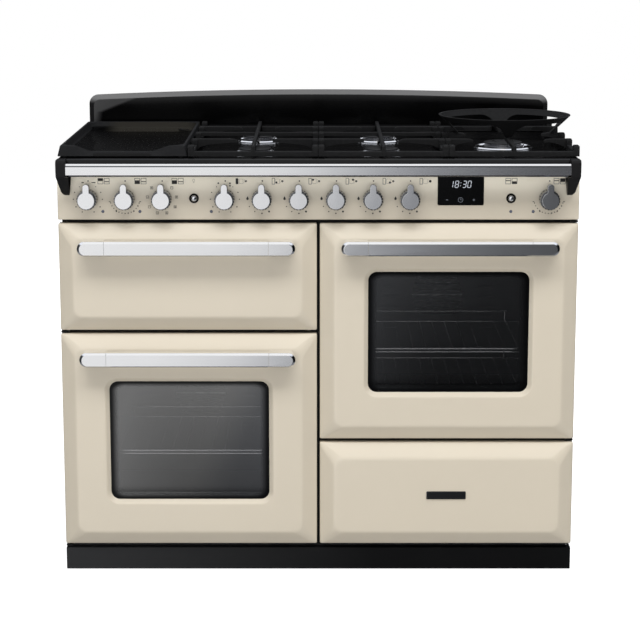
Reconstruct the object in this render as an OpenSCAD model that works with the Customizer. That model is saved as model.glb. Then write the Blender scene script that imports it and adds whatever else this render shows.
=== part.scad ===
// Free-standing dual fuel range cooker with two ovens, a grill, a storage drawer and a hob.
// X runs to the right seen from the front, Y to the back and Z up. All sizes are in millimetres.
// The modules draw with Y = 0 on the rims of the doors and the face of the control panel.
// placed() then moves each node so that the origin lies on the floor, mid-way over the depth.

/* [Carcass] */
// Width over the doors and the control panel
overall_w = 1092; // [1060:2:1200]
// Depth from the door rims to the back of the splashback
body_depth = 586; // [570:1:660]
// Thickness of the sheet steel
sheet = 2; // [1.5:0.1:2.5]
// How far the side panels lie inside the ends of the doors
side_inset = 6; // [4:1:10]
// Clearance left behind the closed doors for the seals
seal_gap = 4; // [3:0.5:6]
// Height of the control panel
panel_h = 115; // [105:1:130]
// Height of the plinth
plinth_h = 49; // [40:1:70]
// Gap between the plinth and the lowest doors
plinth_gap = 10; // [8:1:14]

/* [Fronts] */
// Gap between two fronts above each other
front_gap = 7.5; // [6.5:0.1:9]
// Gap between the left and the right fronts
centre_gap = 6; // [4:1:10]
// Height of the left oven door
left_door_h = 463; // [450:1:500]
// Height of the grill door
grill_door_h = 228; // [215:1:260]
// Height of the drawer front
drawer_front_h = 226; // [200:1:250]
// Width of the sloping border of a front
bevel_w = 31; // [26:1:36]
// How far the raised field stands before the rim
bevel_rise = 22; // [16:1:26]
// Corner radius of the rim of a front
rim_r = 4; // [3:0.5:8]
// Corner radius of the raised field
field_r = 21; // [14:1:26]
// Depth of a front behind its rim
front_depth = 20; // [18:0.5:24]

/* [Windows] */
// Width of the glass that shows
window_w = 335; // [300:1:380]
// Height of the glass that shows
window_h = 255; // [230:1:270]
// Corner radius of the glass
window_r = 17; // [10:1:24]
// Width of the sloping lip around the glass
window_lip = 12; // [8:1:16]
// Depth of the glass behind the raised field
lip_depth = 8; // [6:0.5:9]
// Drop of the glass below the top of the door
window_drop = 102.5; // [95:0.5:112]
// Thickness of a pane
pane_t = 4; // [3:0.5:5]

/* [Handles and rail] */
// Length of a door handle
handle_l = 453; // [400:1:480]
// Height of the handle bar
handle_h = 28; // [22:1:34]
// Depth of the handle bar
handle_t = 22; // [16:1:26]
// Distance from the rim to the back of the bar
handle_reach = 40; // [34:1:50]
// Drop of the bar's middle below the top of its door
handle_drop = 44; // [38:1:54]
// Length of each end piece
handle_end_l = 55.6; // [45:0.1:70]
// Bevel on the front edges of the bar
bar_bevel = 3.5; // [2:0.5:5]
// Distance from the end of the rail to the side of the cooker
rail_end_gap = 24; // [22:1:46]
// Height of the underside of the front rail
rail_z = 860; // [850:1:868]
// Distance from the panel to the back of the rail
rail_reach = 26; // [20:1:34]

/* [Knobs] */
// Height of the knob centres
knob_z = 809.5; // [805:0.5:815]
// Distance between neighbouring knobs
knob_pitch = 77.4; // [76:0.1:80]
// Distance from the left side to the first knob
left_knob_inset = 64; // [60:1:76]
// Place of the first knob of the middle group
middle_group_x = -195.5; // [-200:0.5:-190]
// Distance from the right side to the last knob
right_knob_inset = 64; // [60:1:76]
// Radius of a knob body
knob_r = 21; // [18:0.5:22]
// Length of a knob body
knob_body_l = 28; // [24:1:32]
// Radius of the front disc
knob_disc_r = 18; // [15:0.5:19]
// Distance from the panel to the front of the disc
knob_face = 38; // [35:1:44]
// Width of the pointer tab
pointer_w = 14; // [10:1:16]
// Reach of the pointer tab above the middle of the knob
pointer_reach = 34.6; // [30:0.2:35]
// Thickness of the pointer tab
pointer_t = 14; // [10:1:14]
// Radius of a knob spindle
spindle_r = 3; // [2.5:0.1:4]
// Radius of a push button
button_r = 6; // [5:0.5:7]
// Travel of a push button
button_travel = 3; // [2:0.5:4]

/* [Ovens] */
// Width inside an oven and the grill
oven_w = 446; // [420:1:460]
// Height inside an oven
oven_h = 390; // [370:1:398]
// Depth inside an oven
oven_d = 410; // [380:1:430]
// Height of an oven floor above the bottom of its door
oven_rise = 43; // [38:1:50]
// Height inside the grill
grill_h = 170; // [160:1:175]
// Depth inside the grill
grill_d = 370; // [340:1:400]
// Height of the grill floor above the bottom of its door
grill_rise = 28; // [26:1:32]
// Corner radius inside a cavity
cavity_r = 20; // [10:1:30]
// Radius of the fan blade
fan_r = 62; // [50:1:75]
// Depth of the fan compartment
fan_d = 34; // [30:1:40]
// Radius of a rack or shelf frame wire
wire_r = 3; // [2.5:0.5:4]
// Distance between the shelf levels
level_pitch = 43; // [38:1:48]

/* [Hob] */
// Height of the lip of the hob
hob_z = 895; // [890:1:905]
// Depth of the well below the lip
well_depth = 8; // [5:1:12]
// Height of the raised strip at the back of the hob
strip_h = 13; // [8:1:20]
// Height of the splashback in its middle
splash_top = 991; // [970:1:1020]
// Height of the pan supports
support_top = 920; // [915:1:930]
// Width of a pan support bar
bar_w = 12; // [9:0.5:14]
// Width of the thin spine of a pan support
spine_w = 8.5; // [7:0.5:11]
// Height of the griddle plate's rim above the lip
griddle_rim = 24; // [18:1:32]
// Thickness of the griddle plate's walls
griddle_wall = 8; // [6:0.5:12]
// Outer radius of the wok ring
wok_ring_r = 145; // [130:1:150]
// Height of the wok ring above the pan supports
wok_ring_h = 36; // [28:1:44]

/* [Hidden] */
$fn = 48;

// Running clearance of pieces that slide or lie loosely on each other
play = 0.3;
// Radial clearance of a pin in its bore
pin_play = 0.05;
// Overlap that lets a cut pass cleanly through a face
cut = 1;

// Levels and planes shared by the sub-parts
half_w = overall_w / 2;
carcass_half = half_w - side_inset;
rail_half = half_w - rail_end_gap;
handle_front = handle_reach + handle_t;
centre_y = (body_depth - handle_front) / 2;
wok_x = 1.5 * overall_w / 4;
centre_x = max(0, wok_x + wok_ring_r - half_w) / 2;
frame_y = front_depth + seal_gap;
frame_back = frame_y + sheet;
back_y = body_depth - 30;
left_bottom = plinth_h + plinth_gap;
left_top = left_bottom + left_door_h;
grill_bottom = left_top + front_gap;
grill_top = grill_bottom + grill_door_h;
drawer_top = left_bottom + drawer_front_h;
right_bottom = drawer_top + front_gap;
right_door_h = grill_top - right_bottom;
panel_z = grill_top + front_gap;
carcass_top = panel_z + panel_h;
base_top = left_bottom - 1;
front_w = half_w - 0.5 - centre_gap / 2;
front_x = centre_gap / 2 + front_w / 2;
oven_x = front_x;
left_floor = left_bottom + oven_rise;
right_floor = right_bottom + oven_rise;
grill_floor = grill_bottom + grill_rise;

// Slope and inner surface of the pressed fronts
bevel_slope = bevel_rise / bevel_w;
skin_y = sheet * sqrt(1 + bevel_slope * bevel_slope);
skin_back = front_depth - sheet;

// Panes of the oven doors
outer_pane_y = -bevel_rise + lip_depth + 0.2;
inner_pane_y = skin_back - pane_t;
pane_edge = 10;
tunnel_wall = 6;

// Hinges
hinge_r = 3;
hinge_y = 12;
hinge_inset = 8;
hinge_boss_h = 20;
hinge_plate_t = 3;
grill_hinge_r = 2.5;
grill_hinge_y = 4;
grill_hinge_rise = 8;
grill_ear_x = 14.5;

// Knobs and buttons
knob_xs = [
    for (i = [0:2]) left_knob_inset - half_w + i * knob_pitch,
    for (i = [0:5]) middle_group_x + i * knob_pitch,
    half_w - right_knob_inset
];
knob_gap = 0.5;
spindle_end = 20;
button_xs = [-0.4762 * half_w, 0.7381 * half_w];
button_z = knob_z + 1;
collar_r = 10.3;
lamp_r = 3.25;
lamp_xs = half_w * [-0.826, -0.6841, -0.4103, 0.7381, 0.8242];
lamp_z = 782.7;
clock_x = 0.5452 * half_w;
clock_w = 96.8;
clock_z = 795.7;
clock_h = 71;

// Gas pipe
pipe_r = 8;
pipe_z = 786;
pipe_y = 52;
inlet_x = carcass_half - 22;
inlet_r = 10.5;
inlet_l = 22;
inlet_nut_r = 14.5;
inlet_y = back_y + 6;

// Shelves and racks
rack_front_y = 60;
shelf_front_y = 57;
shelf_d = 305;
shelf_drop = 4;
left_rack_rise = 57.5;
right_rack_rise = 49.5;
rack_levels = 5;
rack_post_x = oven_w / 2 - wire_r - play;
runner_x = rack_post_x - 2 * wire_r + 0.8;
oven_rack_back = oven_d - 60;
grill_rack_back = grill_d - 40;
grill_pan_z = grill_floor + 44;

// Drawer
drawer_side = 24;
drawer_box_w = front_w - 2 * drawer_side - 26;
drawer_box_h = 140;
drawer_box_d = 430;
drawer_box_z = left_bottom + 27;

// Levelling feet and fans
foot_stem_r = 6;
foot_pad_r = 20;
foot_inset = 50;
foot_setback = 46;
fan_shaft_r = 4;

// Hob
well_z = hob_z - well_depth;
hob_half = half_w - 5;
hob_front = -20;
hob_back = body_depth - 11;
well_half = hob_half - 5;
well_front = 26;
well_back = hob_back - 41;
bay_w = overall_w / 4;
bay_gap = 0.5;
grate_front = 10;
grate_back = hob_back - 25;
grate_z = hob_z + 2;
bar_h = 10.5;
spine_h = 8.5;
burner_front_y = 150;
burner_back_y = 420;
wok_y = 280;
grate_mid_y = (grate_front + grate_back) / 2 + 11;
throat_r = 16;
// Places of the five burners: [x, y, 0 for a ring burner or 1 for the wok burner]
burners = [
    for (side = [-1, 1], y = [burner_front_y, burner_back_y]) [side * bay_w / 2, y, 0],
    [wok_x, wok_y, 1]
];

// Moves a node so that the origin is below the middle of the whole cooker; the wok ring
// reaches a little past the right edge, so the middle lies that much to the right
module placed() {
    translate([-centre_x, -centre_y, 0])
        children();
}

// Extrudes a flat XZ outline from y_front back over a depth
module upright(y_front, depth) {
    translate([0, y_front + depth, 0])
        rotate([90, 0, 0])
            linear_extrude(depth)
                children();
}

// Extrudes a flat YZ outline along X from x0 over a length
module sideways(x0, length) {
    translate([x0, 0, 0])
        rotate([90, 0, 90])
            linear_extrude(length)
                children();
}

// Box between two corners
module block(low, high) {
    translate(low)
        cube(high - low);
}

// Round bar along Y
module rod_y(x, y0, y1, z, r) {
    translate([x, y0, z])
        rotate([-90, 0, 0])
            cylinder(h = y1 - y0, r = r);
}

// Round bar along X
module rod_x(x0, x1, y, z, r) {
    translate([x0, y, z])
        rotate([0, 90, 0])
            cylinder(h = x1 - x0, r = r);
}

// Round bar along Z
module rod_z(x, y, z0, z1, r) {
    translate([x, y, z0])
        cylinder(h = z1 - z0, r = r);
}

// Rounded rectangle centred on the origin
module round_rect(w, h, r) {
    square([w - 2 * r, h], center = true);
    square([w, h - 2 * r], center = true);
    for (sx = [-1, 1], sy = [-1, 1])
        translate([sx * (w / 2 - r), sy * (h / 2 - r)])
            circle(r);
}

// Outline of a bar with two bevelled front edges: u is the depth from the front, v the height
module bar_outline(depth, height, bevel) {
    polygon([
        [0, bevel - height / 2], [bevel, -height / 2], [depth, -height / 2],
        [depth, height / 2], [bevel, height / 2], [0, height / 2 - bevel]
    ]);
}

// Convex form of a pressed front, drawn in by an inset on its walls and by lift in depth
module pressed_form(w, h, wall_inset, wall_y, field_inset, field_y, back) {
    $fn = 32;
    hull() {
        upright(wall_y, back - wall_y)
            round_rect(w - 2 * wall_inset, h - 2 * wall_inset, rim_r);
        upright(field_y, 0.2)
            round_rect(w - 2 * field_inset, h - 2 * field_inset, field_r);
    }
}

// Pressed steel skin of a door or drawer front, open at the back, centred on its outline
module pressed_skin(w, h) {
    field_inset = (bevel_rise - sheet + skin_y) / bevel_slope;
    difference() {
        pressed_form(w, h, 0, 0, bevel_w, -bevel_rise, skin_back + sheet);
        pressed_form(w, h, sheet, skin_y - bevel_slope * sheet, field_inset,
            -bevel_rise + sheet, skin_back + sheet + cut);
    }
}

// Funnel that leads from the raised field down to the glass
module lip_form(grow, extra) {
    $fn = 32;
    hull() {
        upright(-bevel_rise - extra, 0.2)
            round_rect(window_w + 2 * (window_lip + grow), window_h + 2 * (window_lip + grow),
                window_r + window_lip);
        upright(-bevel_rise + lip_depth + extra, 0.2)
            round_rect(window_w + 2 * grow, window_h + 2 * grow, window_r + grow);
    }
}

// Pressed skin with the lipped opening for the glass; dz places the window's middle
module window_skin(w, h) {
    dz = h / 2 - window_drop - window_h / 2;
    difference() {
        pressed_skin(w, h);
        translate([0, 0, dz])
            upright(-bevel_rise - cut, bevel_rise)
                round_rect(window_w + 2 * window_lip, window_h + 2 * window_lip,
                    window_r + window_lip);
    }
    translate([0, 0, dz])
        difference() {
            lip_form(sheet, 0);
            lip_form(0, 0.01);
        }
}

// Two panes of an oven door
module panes(h) {
    dz = h / 2 - window_drop - window_h / 2;
    translate([0, 0, dz]) {
        upright(outer_pane_y, pane_t)
            round_rect(window_w + 2 * pane_edge, window_h + 2 * pane_edge, window_r + pane_edge);
        upright(inner_pane_y, pane_t)
            round_rect(window_w + 8, window_h + 8, window_r + 4);
    }
}

// Inner tray of an oven door: back sheet, tunnel between the panes and two hinge bosses.
// side is -1 for a door hinged at its left edge and 1 for one hinged at its right edge
module oven_liner(w, h, side) {
    dz = h / 2 - window_drop - window_h / 2;
    tunnel_front = outer_pane_y + pane_t;
    pin_x = side * (w / 2 - hinge_inset);
    difference() {
        union() {
            upright(skin_back, sheet)
                round_rect(w - 2 * (sheet + play), h - 2 * (sheet + play), rim_r);
            translate([0, 0, dz])
                upright(tunnel_front, skin_back - tunnel_front)
                    round_rect(window_w + 8 + 2 * tunnel_wall, window_h + 8 + 2 * tunnel_wall,
                        window_r + 4 + tunnel_wall);
            for (end = [-1, 1])
                translate([pin_x, 0, end * (h / 2 - sheet - 2 - hinge_boss_h / 2)])
                    block([-5.5, hinge_y - 6, -hinge_boss_h / 2],
                        [5.5, skin_back, hinge_boss_h / 2]);
        }
        translate([0, 0, dz])
            upright(tunnel_front - cut, skin_back - tunnel_front + cut)
                round_rect(window_w + 8.6, window_h + 8.6, window_r + 4.3);
        translate([0, 0, dz])
            upright(skin_back - cut, sheet + 2 * cut)
                round_rect(window_w, window_h, window_r);
        rod_z(pin_x, hinge_y, -h / 2, h / 2, hinge_r + pin_play);
    }
}

// Holes in the top and bottom walls of a skin that let the hinge pins through
module pin_passages(w, h, side) {
    for (end = [-1, 1])
        translate([side * (w / 2 - hinge_inset), hinge_y, end * (h / 2 - sheet / 2)])
            cylinder(h = 3 * sheet, r = hinge_r + 1, center = true);
}

// Handle: two end pieces that reach back to the door and a bar between them, centred
module handle() {
    for (side = [-1, 1])
        scale([side, 1, 1])
            handle_end();
    sideways(-handle_l / 2 + handle_end_l, handle_l - 2 * handle_end_l)
        translate([-handle_front, 0])
            bar_outline(handle_t, handle_h, bar_bevel);
}

// Right end piece of a handle, with a round end and a foot on the raised field
module handle_end() {
    end_x = handle_l / 2 - handle_h / 2;
    start_x = handle_l / 2 - handle_end_l;
    translate([end_x, -handle_front, 0])
        rotate([-90, 0, 0])
            cylinder(h = bar_bevel, r1 = handle_h / 2 - bar_bevel, r2 = handle_h / 2);
    rod_y(end_x, -handle_front + bar_bevel, -bevel_rise, 0, handle_h / 2);
    sideways(start_x, end_x - start_x)
        translate([-handle_front, 0])
            bar_outline(handle_t, handle_h, bar_bevel);
    block([end_x - handle_h / 2, -handle_reach - 1, -handle_h / 2],
        [end_x, -bevel_rise, handle_h / 2]);
}

// Places a child on the front whose middle is at side * front_x, between bottom and bottom + h
module on_front(side, bottom, h) {
    translate([side * front_x, 0, bottom + h / 2])
        children();
}

// Sheet base with folded edges and four threaded bosses for the feet
module base_frame() {
    depth = back_y - frame_back;
    color("dimgray")
        placed()
            difference() {
                union() {
                    block([-carcass_half + sheet, frame_back, base_top - sheet],
                        [carcass_half - sheet, back_y, base_top]);
                    for (y = [frame_back, back_y - sheet])
                        block([-carcass_half + sheet, y, base_top - 28],
                            [carcass_half - sheet, y + sheet, base_top]);
                    for (x = [-carcass_half + sheet, carcass_half - 2 * sheet])
                        block([x, frame_back, base_top - 28], [x + sheet, back_y, base_top]);
                    foot_places(depth)
                        rod_z(0, 0, base_top - 28, base_top, foot_stem_r + 5);
                }
                foot_places(depth)
                    rod_z(0, 0, 0, base_top + cut, foot_stem_r + pin_play);
            }
}

// Places the four levelling feet
module foot_places(depth) {
    for (sx = [-1, 1], y = [frame_back + foot_setback, back_y - foot_setback])
        translate([sx * (carcass_half - foot_inset), y, 0])
            children();
}

// Four screw feet, each a stem with a wide pad
module levelling_feet() {
    color("silver")
        placed()
            foot_places(back_y - frame_back)
                rotate_extrude()
                    polygon([
                        [0, 0], [foot_pad_r, 0], [foot_pad_r, 4], [foot_pad_r - 3, 7],
                        [foot_stem_r, 9], [foot_stem_r, base_top + 12], [0, base_top + 12]
                    ]);
}

// Two side panels with a flange folded in at the front and the back
module side_panels() {
    fold = 16;
    color("#1c1c1e")
        placed()
            for (side = [-1, 1])
                scale([side, 1, 1])
                    difference() {
                        block([carcass_half - fold, frame_back, plinth_h + 1],
                            [carcass_half, back_y, carcass_top]);
                        block([carcass_half - fold - cut, frame_back + sheet, plinth_h],
                            [carcass_half - sheet, back_y - sheet, carcass_top + cut]);
                        block([carcass_half - fold - cut, frame_back - cut, plinth_h],
                            [carcass_half - sheet, frame_back + sheet + cut, base_top]);
                        block([carcass_half - fold - cut, back_y - sheet - cut, plinth_h],
                            [carcass_half - sheet, back_y + cut, base_top]);
                        rod_y(inlet_x, back_y - 2 * sheet, back_y + cut, pipe_z,
                            inlet_nut_r + 1);
                    }
}

// Back panel with rows of cooling slots and the passage for the gas inlet
module back_panel() {
    color("#3a3a3c")
        placed()
            difference() {
                block([-carcass_half, back_y, plinth_h + 1],
                    [carcass_half, back_y + sheet, carcass_top]);
                for (row = [0:5], column = [-6:6])
                    translate([column * 64, back_y + sheet / 2, carcass_top - 50 - row * 14])
                        cube([44, 3 * sheet, 6], center = true);
                rod_y(inlet_x, back_y - cut, back_y + sheet + cut, pipe_z, inlet_nut_r + play);
            }
}

// Plinth with a top flange that reaches back to the base, and short returns at both ends
module plinth() {
    plinth_half = half_w - 1;
    plinth_foot = 2;
    plinth_return = 60;
    color("#151516")
        placed() {
            block([-plinth_half, 0, plinth_foot], [plinth_half, sheet, plinth_h]);
            block([-carcass_half + sheet, sheet, plinth_h - sheet],
                [carcass_half - sheet, frame_back, plinth_h]);
            for (side = [-1, 1])
                scale([side, 1, 1])
                    block([plinth_half - sheet, sheet, plinth_foot],
                        [plinth_half, plinth_return, plinth_h]);
        }
}

// Outline of a cavity's mouth, centred over its floor
module mouth(h) {
    translate([0, h / 2])
        round_rect(oven_w, h, cavity_r);
}

// Front frame: one sheet with the mouths of the cavities, the drawer and the control compartment
module front_frame() {
    drawer_w = drawer_box_w + 30;
    color("#1a1a1c")
        placed()
            upright(frame_y, sheet)
                difference() {
                    translate([-carcass_half, plinth_h + 1])
                        square([2 * carcass_half, carcass_top - plinth_h - 1]);
                    translate([-oven_x, left_floor])
                        mouth(oven_h);
                    translate([-oven_x, grill_floor])
                        mouth(grill_h);
                    translate([oven_x, right_floor])
                        mouth(oven_h);
                    translate([front_x - drawer_w / 2, left_bottom + 14])
                        square([drawer_w, drawer_front_h - 28]);
                    translate([-carcass_half + 16, panel_z + 8])
                        square([2 * carcass_half - 32, panel_h - 16]);
                }
}

// Steel box, open at the front, that lines an oven or the grill
module cavity_box(x, floor, h, d) {
    translate([x, 0, floor]) {
        upright(frame_back, d)
            difference() {
                translate([0, h / 2])
                    round_rect(oven_w + 2 * sheet, h + 2 * sheet, cavity_r + sheet);
                mouth(h);
            }
        upright(frame_back + d, sheet)
            translate([0, h / 2])
                round_rect(oven_w + 2 * sheet, h + 2 * sheet, cavity_r + sheet);
    }
}

module grill_cavity() {
    color("#2a2a2c")
        placed()
            cavity_box(-oven_x, grill_floor, grill_h, grill_d);
}

// Slotted cover in front of an oven fan, centred on the fan's axis
module fan_cover() {
    cover_w = 300;
    cover_h = 250;
    cover_y = frame_back + oven_d - fan_d;
    difference() {
        upright(cover_y, fan_d)
            round_rect(cover_w, cover_h, 24);
        upright(cover_y + sheet, fan_d)
            round_rect(cover_w - 2 * sheet, cover_h - 2 * sheet, 22);
        for (row = [-3:3])
            translate([0, cover_y, row * 14])
                cube([116 - 8 * abs(row), 3 * sheet, 6], center = true);
        for (side = [-1, 1], row = [-3:3])
            translate([side * 112, cover_y, row * 24])
                cube([30, 3 * sheet, 7], center = true);
    }
}

// Fan motor behind the oven's back wall, with a bored nose for the blade's shaft
module fan_motor() {
    wall_y = frame_back + oven_d;
    difference() {
        union() {
            rod_y(0, wall_y + sheet, wall_y + sheet + 38, 0, 32);
            rod_y(0, wall_y - 6, wall_y, 0, 12);
        }
        rod_y(0, wall_y - 6 - cut, wall_y + 30, 0, fan_shaft_r + pin_play);
    }
}

// Oven liner with its fan cover and fan motor
module oven_cavity(x, floor) {
    axis_z = floor + oven_h / 2;
    difference() {
        cavity_box(x, floor, oven_h, oven_d);
        rod_y(x, frame_back + oven_d - cut, frame_back + oven_d + sheet + cut, axis_z,
            fan_shaft_r + 2);
    }
    translate([x, 0, axis_z]) {
        fan_cover();
        fan_motor();
    }
}

module left_oven_cavity() {
    color("#2e2e31")
        placed()
            oven_cavity(-oven_x, left_floor);
}

module right_oven_cavity() {
    color("#2e2e31")
        placed()
            oven_cavity(oven_x, right_floor);
}

// Fan blade: a disc with eight vanes on a shaft that turns in the motor's nose
module fan_blade(x, floor) {
    blade_y = frame_back + oven_d - fan_d + sheet + 6;
    translate([x, 0, floor + oven_h / 2]) {
        rod_y(0, blade_y + 14, blade_y + 16, 0, fan_r);
        rod_y(0, blade_y, blade_y + 18, 0, 11);
        rod_y(0, blade_y + 10, frame_back + oven_d + 24, 0, fan_shaft_r);
        for (i = [0:7])
            rotate([0, i * 45, 0])
                block([20, blade_y, -1], [fan_r - 1, blade_y + 14, 1]);
    }
}

module left_fan_blade() {
    color("silver")
        placed()
            fan_blade(-oven_x, left_floor);
}

module right_fan_blade() {
    color("silver")
        placed()
            fan_blade(oven_x, right_floor);
}

// Seal around the mouth of a cavity
module mouth_seal(x, floor, h) {
    seal_w = 10;
    translate([x, 0, floor + h / 2])
        upright(front_depth + play, seal_gap - play)
            difference() {
                round_rect(oven_w + 6 + 2 * seal_w, h + 6 + 2 * seal_w, cavity_r + 3 + seal_w);
                round_rect(oven_w + 6, h + 6, cavity_r + 3);
            }
}

module door_seals() {
    color("#0e0e0f")
        placed() {
            mouth_seal(-oven_x, left_floor, oven_h);
            mouth_seal(oven_x, right_floor, oven_h);
            mouth_seal(-oven_x, grill_floor, grill_h);
        }
}

// Flat hinge bracket on the front frame with its pin; up is 1 for a pin that points up
module hinge_bracket(side, z, up) {
    pin_x = side * (front_x + front_w / 2 - hinge_inset);
    pin_l = 17;
    low_x = min(pin_x - side * 8, side * carcass_half, pin_x + side * 7.5);
    high_x = max(pin_x - side * 8, side * carcass_half, pin_x + side * 7.5);
    block([low_x, hinge_y - 8, z], [high_x, frame_y, z + hinge_plate_t]);
    if (up > 0)
        rod_z(pin_x, hinge_y, z, z + hinge_plate_t + pin_l, hinge_r);
    else
        rod_z(pin_x, hinge_y, z - pin_l, z + hinge_plate_t, hinge_r);
}

// Ear on the front frame with the short pin on which the grill door turns
module grill_ear(side) {
    ear_x = front_w / 2 - grill_ear_x;
    z = grill_bottom + grill_hinge_rise;
    translate([-front_x, 0, 0])
        scale([side, 1, 1]) {
            block([ear_x - 3, grill_hinge_y - 2.5, z - 2.5], [ear_x, frame_y, z + 2.5]);
            rod_x(ear_x - 13, ear_x - 1, grill_hinge_y, z, grill_hinge_r);
        }
}

module hinge_brackets() {
    color("gray")
        placed() {
            hinge_bracket(-1, left_bottom - 6.5, 1);
            hinge_bracket(-1, left_top + 1.5, -1);
            hinge_bracket(1, right_bottom - 5, 1);
            hinge_bracket(1, grill_top + 2, -1);
            for (side = [-1, 1])
                grill_ear(side);
        }
}

// Side ladders of one cavity: posts at both walls, with runner wires welded to their inner side
module rack_pair(x, z0, levels, back) {
    for (side = [-1, 1]) {
        for (y = [rack_front_y + 20, back])
            rod_z(x + side * rack_post_x, y, z0 - 14, z0 + (levels - 1) * level_pitch + 14,
                wire_r);
        for (level = [0:levels - 1])
            rod_y(x + side * runner_x, rack_front_y - 20, back + 10, z0 + level * level_pitch,
                wire_r);
    }
}

module shelf_racks() {
    color("silver")
        placed() {
            rack_pair(-oven_x, left_floor + left_rack_rise, rack_levels, oven_rack_back);
            rack_pair(oven_x, right_floor + right_rack_rise, rack_levels, oven_rack_back);
            rack_pair(-oven_x, grill_pan_z - wire_r - pin_play, 2, grill_rack_back);
        }
}

// Height of a shelf that lies on a runner of a rack
function shelf_height(floor, rise, level) =
    floor + rise + level * level_pitch + 2 * wire_r + pin_play;

// Wire shelf: frame, a second front bar, cross wires and a raised guard at the back
module wire_shelf(x, z) {
    side_x = rack_post_x - 2 * wire_r - play;
    back = shelf_front_y + shelf_d;
    guard_h = 24;
    guard_x = side_x - 60;
    cross_r = wire_r - 0.4;
    guard_r = wire_r - 1;
    top_r = wire_r - 0.5;
    thin_r = 1.5;
    wires = 14;
    translate([x, 0, z]) {
        for (y = [shelf_front_y, back])
            rod_x(-side_x, side_x, y, 0, cross_r);
        for (side = [-1, 1]) {
            rod_y(side * side_x, shelf_front_y - wire_r, back + wire_r, 0, wire_r);
            rod_z(side * guard_x, back, 0, guard_h, guard_r);
            rod_z(side * (side_x - 30), shelf_front_y, -shelf_drop - wire_r, 0, thin_r);
        }
        rod_x(-guard_x - 5, guard_x + 5, back, guard_h, top_r);
        rod_x(26 - side_x, side_x - 26, shelf_front_y, -shelf_drop - wire_r, 2);
        for (i = [1:wires])
            rod_y(-side_x + i * 2 * side_x / (wires + 1), shelf_front_y, back, 0, thin_r);
    }
}

module left_shelf() {
    color("silver")
        placed()
            wire_shelf(-oven_x, shelf_height(left_floor, left_rack_rise, 2));
}

module right_upper_shelf() {
    color("silver")
        placed()
            wire_shelf(oven_x, shelf_height(right_floor, right_rack_rise, 2));
}

module right_lower_shelf() {
    color("silver")
        placed()
            wire_shelf(oven_x, shelf_height(right_floor, right_rack_rise, 0));
}

// Grill pan with a rolled rim, on the runners of the grill cavity
module grill_pan() {
    pan_half = rack_post_x - wire_r - play;
    pan_back = 350;
    pan_h = 34;
    color("#232325")
        placed()
            translate([-oven_x, 0, grill_pan_z])
                difference() {
                    union() {
                        block([-pan_half, rack_front_y, 0], [pan_half, pan_back, 3]);
                        block([10 - pan_half, rack_front_y + 8, 0],
                            [pan_half - 10, pan_back - 8, pan_h]);
                    }
                    block([12 - pan_half, rack_front_y + 10, sheet],
                        [pan_half - 12, pan_back - 10, pan_h + cut]);
                }
}

// Two runners that stand on the base and carry the drawer box at its lower edges
module drawer_runners() {
    web_x = drawer_box_w / 2 + play;
    runner_z = drawer_box_z - play;
    color("silver")
        placed()
            for (side = [-1, 1])
                translate([front_x, 0, 0])
                    scale([side, 1, 1]) {
                        block([web_x, frame_back, base_top],
                            [web_x + sheet, frame_back + drawer_box_d, drawer_box_z + 40]);
                        block([web_x - 18, frame_back, runner_z - sheet],
                            [web_x + sheet, frame_back + drawer_box_d, runner_z]);
                    }
}

// Half ring of tube that joins two neighbouring bars of the grill element
module element_bend(x, y, z, radius, r, forward) {
    translate([x, y, z])
        rotate([0, 0, forward > 0 ? 180 : 0])
            rotate_extrude(angle = 180)
                translate([radius, 0])
                    circle(r);
}

// Grill element: six bars joined to one winding tube, its two ends in the back wall
module grill_element() {
    bars = 6;
    pitch = 64;
    r = 4;
    z = grill_floor + grill_h - 14;
    front = frame_back + 50;
    rear = frame_back + grill_d - 60;
    wall = frame_back + grill_d;
    for (i = [0:bars - 1])
        rod_y(-oven_x + (i - (bars - 1) / 2) * pitch, front,
            i == 0 || i == bars - 1 ? wall : rear, z, r);
    for (i = [0:2:bars - 2])
        element_bend(-oven_x + (i + 0.5 - (bars - 1) / 2) * pitch, front, z, pitch / 2, r, 1);
    for (i = [1:2:bars - 3])
        element_bend(-oven_x + (i + 0.5 - (bars - 1) / 2) * pitch, rear, z, pitch / 2, r, -1);
}

// Ring element around an oven fan, on two legs in the back wall
module ring_element(x, floor) {
    ring_r = fan_r + 24;
    ring_y = frame_back + oven_d - 14;
    r = 3.5;
    translate([x, 0, floor + oven_h / 2]) {
        translate([0, ring_y, 0])
            rotate([90, 0, 0])
                rotate_extrude()
                    translate([ring_r, 0])
                        circle(r);
        for (side = [-1, 1])
            rod_y(side * ring_r, ring_y, frame_back + oven_d, 0, r);
    }
}

// Heating elements of the grill and both ovens, and the glass hotplate under the griddle
module heating_elements() {
    color("#3b3a3c")
        placed() {
            grill_element();
            ring_element(-oven_x, left_floor);
            ring_element(oven_x, right_floor);
            translate([-1.5 * bay_w, grate_mid_y - 11, well_z])
                linear_extrude(5)
                    round_rect(190, 380, 16);
        }
}

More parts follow.
